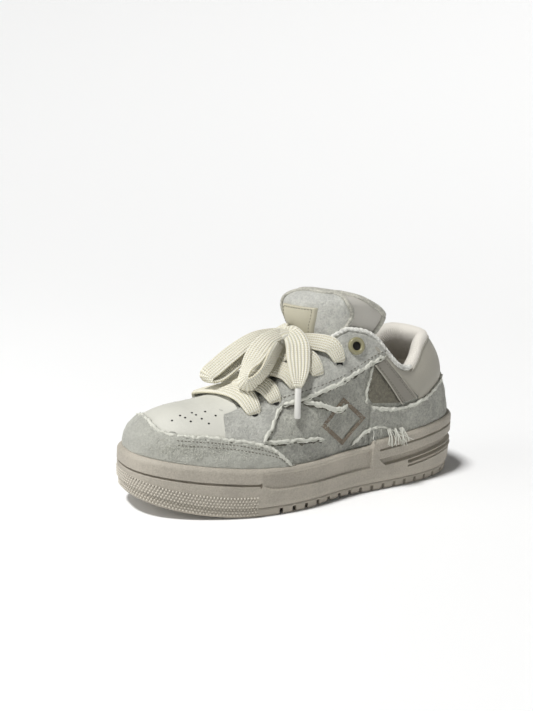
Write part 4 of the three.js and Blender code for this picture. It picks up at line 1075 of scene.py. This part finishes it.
def rope(path, radius, twist=1.25, strands=3, sides=14, bump=0.16):  # round cord whose strands wind along it
    path = np.asarray(path, float)
    length = arcLength(path, 0)
    count = max(int(length[-1] / 0.55), 12)
    stops = np.linspace(0, length[-1], count)
    centre = np.stack([np.interp(stops, length, path[:, k]) for k in range(3)], -1)
    along = unit(np.gradient(centre, axis=0))
    side = unit(np.cross(along, (0.13, 0.21, 0.97)))
    third = np.cross(along, side)
    angle = np.linspace(0, 2 * math.pi, sides, endpoint=False)
    r = radius * (1 + bump * np.cos(strands * (angle[None, :] - stops[:, None] * twist)))
    taper = np.sqrt(np.clip(np.minimum(stops, length[-1] - stops) / (radius * 1.2) + 0.06, 0, 1))[:, None]
    c, s = np.cos(angle)[None, :, None], np.sin(angle)[None, :, None]
    ring = (c * side[:, None] + s * third[:, None]) * (r * taper)[..., None]
    uv = np.stack(np.broadcast_arrays((stops / 10)[:, None], (angle / 6.28)[None, :]), -1)
    return centre[:, None] + ring, gridFaces(count, sides, closeV=True)[:, ::-1], uv


frontSeam, backSeam = tonguePart["frontSeam"], tonguePart["backSeam"]
grid = tongueStrip(frontSeam, 180 - frontSeam, 61)
front = addPiece("tongue_front", grid, gridFaces(*grid.shape[:2])[:, ::-1], tongueCloth, gridUv(grid))
sides = [tongueStrip(backSeam, frontSeam, 25), tongueStrip(180 - frontSeam, 180 - backSeam, 25)]
gusset = joinGrids("tongue_gusset", [(g, gridFaces(*g.shape[:2])[:, ::-1], gridUv(g)) for g in sides], gussetLeather)
grid = tongueStrip(180 - backSeam, 360 + backSeam, 41)
lining = addPiece("tongue_lining", grid, gridFaces(*grid.shape[:2])[:, ::-1], liningLeather, gridUv(grid))
topRing = tongueSkin(np.full(96, tonguePart["top"]), np.linspace(0, 360, 96, endpoint=False))
crown = [topRing * (1 - t) + topRing.mean(0) * t + np.array([0, 0, 0.5 * math.sqrt(t)]) for t in (0, 0.3, 0.7, 0.999)]
crown = np.stack(crown, 1)
cap = addPiece("tongue_crown", crown, gridFaces(*crown.shape[:2], closeU=True), tongueCloth, gridUv(crown))
for piece in (front, gusset, lining, cap):
    fixNormals(piece)
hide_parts("tongue")


def tongueRope(degrees):  # path of a cord up one seam, over the top and down the other
    low, top = tonguePart["ropeFrom"], tonguePart["top"]
    v = np.concatenate([np.linspace(low, top, 90), np.full(30, top), np.linspace(top, low, 90)])
    far = 180 - degrees if degrees > 0 else -180 - degrees
    turn = np.concatenate([np.full(90, degrees), np.linspace(degrees, far, 30), np.full(90, far)])
    return tongueSkin(v, turn, np.full(len(v), tonguePart["ropeLift"]))


ropes = joinGrids("tongue_piping", [rope(tongueRope(frontSeam), 1.5), rope(tongueRope(backSeam), 1.9)], ropeCloth)


# Patch on the front of the tongue: plain leather with a stitched border.
patch = dict(v=(5.2, 8.15), span=(-18.5, 10.5), stand=1.2, thick=1.0, count=40, tuck=1.4, border=1.8)


def labelPoint(v, across, stand):  # tongue's front face at a place across, moved out by the stand
    thick = readTable(tongueForm, "thick", v)
    frontDepth = thick * (0.5 - 0.5 * (1 - np.abs(across) ** 2.5) ** 0.35)
    return tonguePoint(v, across, frontDepth - stand)


def labelGrid():  # flat patch with its outer ring tucked in and a shallow groove inside the edge
    v, across = [np.pad(np.linspace(*patch[key], patch["count"]), 1, mode="edge") for key in ("v", "span")]
    v, across = v[:, None], across[None, :]
    across = across / readTable(tongueForm, "half", v)
    v = np.broadcast_to(v, across.shape)
    stand = np.full(v.shape, patch["stand"] + patch["thick"])
    stand[[0, -1]] = stand[:, [0, -1]] = patch["stand"] - patch["tuck"]
    place = np.arange(patch["count"] + 2)
    place = np.minimum(place, place[::-1])
    edge = np.minimum(place[:, None], place[None, :])
    stand = stand - 0.35 * (edge == 1) - 0.25 * ((edge == 4) | (edge == 5))
    return labelPoint(v, across, stand)


grid = labelGrid()
label = addPiece("tongue_patch", grid, gridFaces(*grid.shape[:2]), labelLeather, gridUv(grid))
fixNormals(label)
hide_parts("tongue_label")


# Padded roll over the ankle edge: section in millimetres out of and up along the wall, full at the heel, slim in front.
pad = dict(until=0.33, blendAt=0.19, blendOver=0.06, seamAt=0.028, seamWide=0.004,
           heel=[(0.6, -2.5), (1.1, 0.5), (0.6, 3.2), (-1.6, 5.0), (-4.6, 4.9), (-7.6, 2.6), (-9.4, -2.5),
                 (-9.6, -9), (-8.2, -17), (-5.2, -25), (-3.2, -29), (-2.9, -20), (-2.8, -8), (-1.2, -4)],
           front=[(-3.0, -2), (-3.0, 0.3), (-3.1, 1.6), (-4.2, 2.4), (-5.8, 2.0), (-7.4, 0.4), (-8.6, -3),
                  (-8.8, -8), (-7.6, -14), (-5.0, -20), (-3.2, -23), (-3.0, -15), (-3.0, -8), (-3.0, -5)])


def padGrid():  # section blended from heel to front along the edge, with one seam pressed into the outer side
    side, at = sideStations(pad["until"], 120, "heel")
    edge = edgeAngle(side, at)
    rim = formPoint(side, at, edge)
    normal = surfaceNormal(side, at, edge)
    rise = unit(rim - formPoint(side, at, edge - 0.02))
    heel, front = [smoothPath(np.array(pad[key] + pad[key][:1], float), 57)[:-1] for key in ("heel", "front")]
    blend = easeStep(at - pad["blendAt"], pad["blendOver"])[:, None, None]
    section = heel[None] * (1 - blend) + front[None] * blend
    seam = (np.exp(-((at - pad["seamAt"]) / pad["seamWide"]) ** 2) * (side > 0))[:, None, None]
    section = section - seam * np.clip(-section[..., :1] - 3, 0, 1.5) * np.array([-0.6, 0.0])
    return rim[:, None] + normal[:, None] * section[..., :1] + rise[:, None] * section[..., 1:]


grid = padGrid()
roll = addPiece("collar_roll", grid, gridFaces(*grid.shape[:2], closeV=True), ribbedLining, gridUv(grid))
fixNormals(roll)
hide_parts("collar_lining")


def insideLining():  # smooth lining on the inside of the wall, from the inner sole up to the roll
    side, at = sideStations(0.47, 120, "heel")
    edge = edgeAngle(side, at)
    low = angleAtHeight(at, bedAt(at) + 22)
    angle = low[:, None] + (edge * 0.97 - low)[:, None] * np.linspace(0, 1, 24)[None, :]
    sides, ats = np.broadcast_to(side[:, None], angle.shape), np.broadcast_to(at[:, None], angle.shape)
    return formPoint(sides, ats, angle) - surfaceNormal(sides, ats, angle) * (shoe["wall"] + 0.35)


grid = insideLining()
inside = addPiece("inside_lining", grid, gridFaces(*grid.shape[:2])[:, ::-1], liningLeather, gridUv(grid))

# Piping: a twisted cord from each lace panel down to the ankle's lowest point, a thin smooth one round the heel.
piping = dict(radius=1.9, until=0.485, low=0.175)


def pipingPath(side, at, lift):  # line along the top edge, raised in the direction of the wall
    edge = edgeAngle(side, at)
    normal = surfaceNormal(side, at, edge)
    rise = unit(formPoint(side, at, edge) - formPoint(side, at, edge - 0.03))
    return formPoint(side, at, edge) - normal * 0.3 + rise * lift


cordAt = np.linspace(piping["until"], piping["low"], 110)
cordLines = [pipingPath(np.full_like(cordAt, side), cordAt, piping["radius"] + 0.4) for side in (1.0, -1.0)]
cords = [rope(line, piping["radius"], 0.9, 2) for line in cordLines]
edging = joinGrids("ankle_piping", cords, pipingCloth)
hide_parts("collar_binding")
turnSide, turnAt = sideStations(piping["low"] + 0.01, 90, "heel")
turnNormal = surfaceNormal(turnSide, turnAt, edgeAngle(turnSide, turnAt))
grid = rope(pipingPath(turnSide, turnAt, -1.6) + turnNormal * 1.1, 0.6, 0.9, 2, 8)
seam = addPiece("heel_seam_cord", *grid[:2], sideLeather, grid[2])

# Ring eyelets, and dark discs of painted shade in the lace holes.
ringPart = dict(outer=0.387, inner=0.395, part=0.82, profile=[
    (-2.5, 3.15), (0.2, 3.1), (0.9, 3.3), (1.5, 3.9), (1.75, 4.7), (1.5, 5.6), (0.9, 6.2), (0, 6.4), (-0.6, 6.4)])


def discGrid(side, at, half, lift, radius):  # flat disc lying on the upper
    centre, normal = placeOn(side, at, half, lift)
    return lathePoints([(0.0, radius * r) for r in (1.0, 0.6, 0.01)], centre, normal, 18)


for side, name in ((1, "outer"), (-1, "inner")):
    half = ringPart["part"] * halfAt(side, np.array(ringPart[name]), shoe["rimWidth"])
    centre, normal = placeOn(side, ringPart[name], half, 1.8)
    points = lathePoints(ringPart["profile"], centre, normal, 40)
    ring = addPiece("ring_" + name + "_eyelet", points, gridFaces(*points.shape[:2], closeV=True), ringEnamel)
    fixNormals(ring)
    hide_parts("ring_" + name)
holeShades = []
for side in (1, -1):
    for row in lacing["rows"]:
        start = row[0] if side > 0 else row[1]
        reach = row[2] * halfAt(side, np.array(start), shoe["rimWidth"])
        holeShades.append(discGrid(side, start, reach + 2.8, 1.95, 2.5))
    at = ringPart["outer" if side > 0 else "inner"]
    holeShades.append(discGrid(side, at, ringPart["part"] * halfAt(side, np.array(at), shoe["rimWidth"]), 1.9, 3.4))
holeShades = joinGrids("eyelet_hole_shades", [(g, gridFaces(*g.shape[:2], closeV=True)) for g in holeShades], paintedHoleShade)
print("tongue and trim ready")


# Raw edges: an uneven roll of loose threads with short fibres standing out of it.
frayed = dict(swell=1.25, gapDrop=2.2, hairRadius=0.18, hairLength=(1.6, 4.6), hairsPerMm=4.6,
              lines=[([(-51, 100.6)] + panels["stay"][1:6], 1.3, 1.15),  # side-view points, lift, radius
                     ([(19.6, 74.8), (7.4, 71.4), (-4, 67.4), (-11.2, 65.6), (-17.8, 68.2)], 0.8, 1.25),
                     ([(57, 50.2), (49, 50.6), (41, 50.1), (30, 50.3), (21.7, 49.4), (12, 48.6), (3.8, 46.6)],
                      0.3, 0.85),
                     ([(-23, 38), (-30.2, 43.4), (-40.9, 48), (-50, 47.8), (-59.8, 44.2)], 0.9, 1.0),
                     ([(52.5, 50), (46, 57.5), (40.5, 64.5), (34, 71.6)], 1.3, 1.0),
                     ([(-35.4, 66.4), (-35.2, 74), (-35.4, 79), (-38, 88), (-41, 94.4)], 0.5, 0.8)])


def smoothNoise(stops, step, size):  # random values joined smoothly along a length
    knots = np.arange(0, stops[-1] + 4 * step, step)
    return readTable(dict(at=knots, v=rng.normal(0, size, len(knots))), "v", stops)


def evenPath(path, step):  # path resampled at even lengths, with the lengths
    length = arcLength(path, 0)
    stops = np.linspace(0, length[-1], max(int(length[-1] / step), 8))
    return np.stack([np.interp(stops, length, path[:, k]) for k in range(path.shape[1])], -1), stops


def lumpyRope(path, normal, radius, sides=9):  # roll whose radius and line wander
    both, stops = evenPath(np.concatenate([path, normal], 1), 0.5)
    centre, face = both[:, :3], unit(both[:, 3:])
    along = unit(np.gradient(centre, axis=0))
    side = np.cross(along, face)
    centre = centre + side * smoothNoise(stops, 2.8, 0.34)[:, None] + face * smoothNoise(stops, 1.9, 0.25)[:, None]
    angle = np.linspace(0, 2 * math.pi, sides, endpoint=False)
    lump = np.stack([1 + smoothNoise(stops, 1.3, 0.22) for _ in range(sides)], 1)
    taper = np.sqrt(np.clip(np.minimum(stops, stops[-1] - stops) / 3, 0.0004, 1))[:, None]
    r = radius * np.clip(lump, 0.45, 1.6) * taper
    c, s = np.cos(angle)[None, :, None], np.sin(angle)[None, :, None]
    ring = (c * side[:, None] + s * face[:, None]) * r[..., None]
    uv = np.stack(np.broadcast_arrays((stops / 10)[:, None], (angle / 6.28)[None, :]), -1)
    return centre[:, None] + ring, gridFaces(len(stops), sides, closeV=True), uv


def hairs(start, face, along, lengths, droop=0.35):  # thin three-sided hairs, each along a bent line
    count = len(start)
    side = np.cross(along, face)
    spread = rng.normal(0, 1, (count, 3))
    stand = 0.28 + 0.2 * np.abs(spread[:, 2:])
    lead = unit(along * spread[:, :1] * 1.2 + side * spread[:, 1:2] * 0.9 + face * stand)
    bend = unit(rng.normal(0, 1, (count, 3))) * 0.35 - np.array([0, 0, droop]) - face * 0.35
    long = rng.uniform(*lengths, count) * rng.uniform(0.4, 1, count)
    t = np.linspace(0, 1, 4)
    ahead, aside = (long[:, None] * t)[..., None], (long[:, None] * 0.5 * t * t)[..., None]
    centre = start[:, None] + lead[:, None] * ahead + bend[:, None] * aside
    one = unit(np.cross(lead, rng.normal(0, 1, (count, 3))))
    two = np.cross(lead, one)
    angle = np.linspace(0, 2 * math.pi, 3, endpoint=False)
    ring = np.cos(angle)[:, None] * one[:, None] + np.sin(angle)[:, None] * two[:, None]
    thick = frayed["hairRadius"] * (1 - 0.94 * t)
    points = centre[:, :, None] + ring[:, None] * thick[None, :, None, None]
    faces = gridFaces(4, 3, closeV=True)[None] + (np.arange(count) * 12)[:, None, None]
    return points.reshape(-1, 3), faces.reshape(-1, 4)


def fibres(path, normal, density, lengths):  # hairs standing out of a line
    both, stops = evenPath(np.concatenate([path, normal], 1), 0.5)
    pick = rng.integers(0, len(both), int(stops[-1] * density))
    along = unit(np.gradient(both[:, :3], axis=0))[pick]
    return hairs(both[pick, :3], unit(both[pick, 3:]), along, lengths)


def surfaceLine(side, at, angle, lift):  # points on the upper lifted along their normals, and the normals
    normal = surfaceNormal(side, at, angle)
    return formPoint(side, at, angle) + normal * lift, normal


def sideLine(side, line, lift, count=120):  # path on the upper through side-view points, with its normals
    return surfaceLine(side, *sidePlace(*smoothPath(line, count).T), lift)


def stitches(path, normal, pitch=3.0, long=2.1, radius=0.34):  # short sewn threads in a row
    both, _ = evenPath(np.concatenate([path, normal], 1), pitch)
    along = unit(np.gradient(both[:, :3], axis=0))
    face = unit(both[:, 3:])
    side = np.cross(face, along)
    t = np.linspace(-0.5, 0.5, 6)
    angle = np.linspace(0, 2 * math.pi, 6, endpoint=False)
    swell = np.sqrt(np.clip(1 - (2 * t) ** 4, 0.02, 1))
    reach, r = np.broadcast_to((t * long)[:, None], (6, 6)), radius * swell[:, None]
    template = np.stack([reach, r * np.cos(angle), r * np.sin(angle)], -1).reshape(-1, 3)
    return copies(template, gridFaces(6, 6, closeV=True), both[:, :3], np.stack([along, side, face], 1))


bare = guardHigh < math.pi / 2 - 0.02  # the edge ends where both sides meet over the toe
edges = [(*surfaceLine(guardSide[bare], guardAt[bare], guardHigh[bare], 1.3), 1.0),
         (*surfaceLine(counterSide, counterAt, counterEdge(counterAt), 1.4), 1.1)]
for side in (1, -1):
    edges += [(*sideLine(side, line, lift), radius) for line, lift, radius in frayed["lines"]]


def downSlope(normal):  # direction straight down along the surface
    return unit(np.array([0.0, 0.0, -1.0]) + normal * normal[:, 2:])


strands = [lumpyRope(p, n, r * frayed["swell"]) for p, n, r in edges]
strands += [lumpyRope(p + downSlope(n) * 1.5 - n * 0.3, n, r * 0.6) for p, n, r in edges]
rolls = joinGrids("frayed_edges", strands, frayThread)
strapTop, strapFoot = np.array(panels["strap"][0]) + [1.9, 0], np.array(panels["strap"][3]) + [1.9, -0.5]
strapFront = [strapTop, (strapTop + strapFoot) / 2, strapFoot]
# dark ropes beside the strap's front edge and below each raw edge: painted shadow
gaps = [lumpyRope(*sideLine(side, strapFront, 0.35), 0.6, 6) for side in (1, -1)]
gaps += [lumpyRope(p + downSlope(n) * frayed["gapDrop"] - n * 0.85, n, 0.75, 6) for p, n, _ in edges]
gapRolls = joinGrids("edge_gaps", gaps, gapThread)
tufted = [fibres(p, n, frayed["hairsPerMm"], frayed["hairLength"]) for p, n, _ in edges]
hair = joinGrids("edge_fibres", tufted, frayThread)
print("raw edges ready")


# Rubbed nap: short hairs scattered round worn spots (x, z, spread along, spread up, hairs), and a torn fringe.
rubbed = dict(length=(1.2, 3.2), lift=0.2, guardLift=1.7,
              spots=[(-20, 70, 12, 6, 210), (-8, 57, 16, 8, 340), (10, 60, 12, 8, 260), (-32, 54, 10, 8, 210),
                     (30, 58, 10, 6, 190), (-60, 52, 14, 5, 180), (-95, 58, 12, 8, 190), (20, 82, 16, 4, 130),
                     (-30, 97, 12, 5, 160), (-8, 88, 16, 5, 160)],
              guardSpots=[(112, 48, 7, 5, 210), (98, 47, 8, 4, 160), (82, 47, 8, 4, 140), (66, 44, 8, 4, 110)],
              fringe=[(-36, 45.6), (-46, 48), (-60, 44.4)], fringeCount=150, fringeLength=(4.0, 9.0), fringeDroop=1.1)


def rubbedHairs(side, x, z, wide, tall, count, lift):  # hairs at places spread normally round a spot
    flat = rng.normal(0, 1, (count, 2)) * [wide * 0.6, tall * 0.6] + [x, z]
    points, normal = surfaceLine(side, *sidePlace(*flat.T), lift)
    return hairs(points, normal, unit(np.cross(normal, (0.0, 0.0, 1.0))), rubbed["length"])


def fringeHairs(side):  # longer threads hanging from a torn line
    line, normal = sideLine(side, rubbed["fringe"], 0.7)
    both, _ = evenPath(np.concatenate([line, normal], 1), 0.5)
    pick = rng.integers(0, len(both), rubbed["fringeCount"])
    along = unit(np.gradient(both[:, :3], axis=0))[pick]
    return hairs(both[pick, :3], unit(both[pick, 3:]), along, rubbed["fringeLength"], rubbed["fringeDroop"])


nap = [fringeHairs(side) for side in (1, -1)]
nap += [rubbedHairs(side, *spot, rubbed["lift"]) for side in (1, -1) for spot in rubbed["spots"]]
guardLift = rubbed["lift"] + rubbed["guardLift"]
nap += [rubbedHairs(side, *spot, guardLift) for side in (1, -1) for spot in rubbed["guardSpots"]]
napped = joinGrids("rubbed_nap", nap, frayThread)


# Loose threads over the sole: three long ones through points, then tufts of short ones.
tufts = dict(starts=(-55.0, -61.0, -66.0), count=6, threads=[
    ([(-52, 38.2, 47.6), (-57, 38.6, 46), (-61, 40.2, 43.2), (-66, 42.9, 39.5), (-70, 43.2, 33)], 0.34),
    ([(-58, 38.2, 45), (-63, 39.6, 43.4), (-69, 42.6, 40), (-76, 43.1, 36.5)], 0.3),
    ([(-40.5, 38.6, 48), (-41.5, 39.4, 44), (-40.4, 40.6, 40.5), (-42.6, 41.2, 38.9)], 0.3)])


def looseThread(points, radius):  # thin cord of two strands, smooth through the points
    return rope(smoothPath(points, 40), radius, 2.0, 2, 6)


threads = [looseThread(*thread) for thread in tufts["threads"]]
for start in np.repeat(tufts["starts"], tufts["count"]):  # short threads over the rim, each leaning its own way
    lean, reach = rng.uniform(-2.5, 2.5), rng.uniform(0.0, 4.5)
    first = start + rng.uniform(-1.6, 1.6)
    points = [(first, 38.3, 46.4), (first + lean * 0.4, 40.2, 44.0), (first + lean * 0.8, 42.7, 40.6),
              (first + lean * 1.5, 43.5, 37.6 - reach)]
    threads.append(looseThread(points, rng.uniform(0.22, 0.36)))
loose = joinGrids("loose_threads", threads, frayThread)

# Sewn lines: lace panels, toe guard, straps and the patch; each stitch is (pitch, length, radius). Their dark tone is
# partly the thread's own and partly painted shade in the stitch dents.
seams = dict(stayShift=(0.6, 3.4), guardShifts=(3.0, 5.6), guardStitch=(2.4, 1.7, 0.3), strapParts=(0.15, 0.85),
             strapStitch=(2.6, 1.7, 0.28), patchStitch=(2.2, 1.5, 0.26), trimRadii=(0.55, 0.75))
rows, trims = [], []
for side in (1, -1):
    rows.append(stitches(*sideLine(side, np.array(frayed["lines"][0][0]) + seams["stayShift"], 1.85)))
    for shift in seams["guardShifts"]:
        line = [(x - shift * (z < 46) * 0.7, z - shift) for x, z in panels["guard"][2:8]]
        rows.append(stitches(*sideLine(side, line, 1.85, 160), *seams["guardStitch"]))
    a, b, c, d = [np.array(p) for p in panels["strap"]]
    for near, far in (seams["strapParts"], seams["strapParts"][::-1]):
        start, end = a * far + b * near, d * far + c * near
        line = [start * 0.96 + end * 0.04, start * 0.5 + end * 0.5, start * 0.04 + end * 0.96]
        rows.append(stitches(*sideLine(side, line, 1.95), *seams["strapStitch"]))
    frontLine = [a + [0.6, 0], a * 0.5 + d * 0.5 + [0.6, 0], d + [0.6, -1.5]]
    backLine = [b - [0.8, -0.5], b * 0.5 + c * 0.5 - [0.8, -0.5], c - [0.8, 1.0]]
    trims.append(looseThread(sideLine(side, frontLine, 2.0, 12)[0], seams["trimRadii"][0]))
    trims.append(looseThread(sideLine(side, backLine, 1.2, 12)[0], seams["trimRadii"][1]))
edgeTrim = joinGrids("strap_trim", trims, trimThread)
low, high = patch["v"][0] + 0.25, patch["v"][1] - 0.25
near, far = patch["span"][0] + patch["border"], patch["span"][1] - patch["border"]
corners = [(low, near), (high, near), (high, far), (low, far)]
border = np.concatenate([np.linspace(corners[k], corners[k + 1], 30) for k in range(3)])
v, across = border[:, 0], border[:, 1] / readTable(tongueForm, "half", border[:, 0])
border = labelPoint(v, across, patch["stand"] + patch["thick"])
rows.append(stitches(border, np.broadcast_to((0.91, 0.4, 0.1), border.shape), *seams["patchStitch"]))
sewing = joinGrids("sewn_lines", rows, threadAndStitchShade)

# Holes in the vamp leather as dark discs of painted shade: radius, then station and angle of each.
perforations = dict(radius=0.78, lift=0.5, places=[
    (0.908, 1.04), (0.884, 1.13), (0.875, 1.05), (0.866, 0.94), (0.852, 1.16), (0.845, 1.09), (0.836, 0.98),
    (0.824, 0.86), (0.798, 1.01), (0.818, 1.14)])


def perforationDiscs():  # shallow dark discs of painted shade on both sides
    radius, grids = perforations["radius"], []
    for side in (1, -1):
        for at, angle in perforations["places"]:
            normal = outward(side, np.array(at), np.array(angle))
            centre = formPoint(side, at, angle) + normal * perforations["lift"]
            grids.append(lathePoints([(0.03, radius), (0.02, radius * 0.6), (0.0, 0.01)], centre, normal, 12))
    return [(g, gridFaces(*g.shape[:2], closeV=True)) for g in grids]


perforationShade = joinGrids("toe_perforation_shades", perforationDiscs(), paintedHoleShade)


# Faded print on each quarter: a hollow diamond.
motif = dict(centre=(-14.0, 56.5), half=(21.0, 17.5), strip=4.2, lift=0.42)


def diamondBand(side):  # strip between the diamond and a smaller copy of it, laid on the upper
    cx, cz = motif["centre"]
    w, h = motif["half"]
    corner = np.array([(cx, cz + h), (cx + w, cz), (cx, cz - h), (cx - w, cz), (cx, cz + h)])
    t = np.linspace(0, 4, 161)
    outer = np.stack([np.interp(t, range(5), corner[:, k]) for k in range(2)], -1)
    inner = (outer - [cx, cz]) * (1 - motif["strip"] / min(w, h)) + [cx, cz]
    u = np.linspace(0, 1, 6)[None, :, None]
    flat = outer[:, None] * (1 - u) + inner[:, None] * u
    return sidePoint(side, flat[..., 0], flat[..., 1], np.full(flat.shape[:2], motif["lift"]))


bands = [diamondBand(1), diamondBand(-1)]
printed = joinGrids("quarter_print", [(g, gridFaces(*g.shape[:2]), gridUv(g)) for g in bands], motifCloth)
fixNormals(printed)
print("wear and sewing ready")


# Floor and light: a key from above, weak light all round, the floor swept up gently far behind.
stage = dict(flat=0.8, reach=7.5, height=2.4, rings=48, sides=96, tone=(0.94, 0.94, 0.935), ambient=0.05,
             key=3.0, keyFrom=(0.45, 0.04, 1.0), keyAngle=10.0, fill=2.0, fillFrom=(0.9, -0.12, 0.55), fillSize=0.5,
             fillTo=(-0.02, 0, 0.09))


def floorGrid():  # rings of a round floor that rises as the square of the distance past its flat part
    radius = np.concatenate([[0.0, 0.4], np.linspace(stage["flat"], stage["reach"], stage["rings"])]) * 1000
    turn = np.linspace(0, 2 * math.pi, stage["sides"], endpoint=False)
    past = np.clip((radius / 1000 - stage["flat"]) / (stage["reach"] - stage["flat"]), 0, 1)
    rise = np.broadcast_to((stage["height"] * 1000 * past ** 2)[:, None], (len(radius), len(turn)))
    return np.stack([radius[:, None] * np.cos(turn), radius[:, None] * np.sin(turn), rise], -1)


grid = floorGrid()
faces = gridFaces(*grid.shape[:2], closeV=True)[:, ::-1]
floor = addPiece("floor", grid, faces, plainFinish("floor", stage["tone"], 0.9), weld=True)
world = bpy.data.worlds.new("studio")
bpy.context.scene.world = world
world.use_nodes = True
background = world.node_tree.nodes["Background"]
background.inputs[0].default_value = (1.0, 1.0, 1.0, 1)
background.inputs[1].default_value = stage["ambient"]
sun = bpy.data.objects.new("key", bpy.data.lights.new("key", "SUN"))
sun.data.energy, sun.data.angle = stage["key"], math.radians(stage["keyAngle"])
sun.rotation_euler = (-Vector(stage["keyFrom"])).to_track_quat("-Z", "Y").to_euler()
bpy.context.scene.collection.objects.link(sun)
fill = bpy.data.objects.new("fill", bpy.data.lights.new("fill", "AREA"))
fill.data.energy, fill.data.size = stage["fill"], stage["fillSize"]
fill.location = stage["fillFrom"]
fill.rotation_euler = (Vector(stage["fillTo"]) - Vector(stage["fillFrom"])).to_track_quat("-Z", "Y").to_euler()
bpy.context.scene.collection.objects.link(fill)
bpy.context.scene.view_settings.view_transform = "Standard"
print("stage ready")
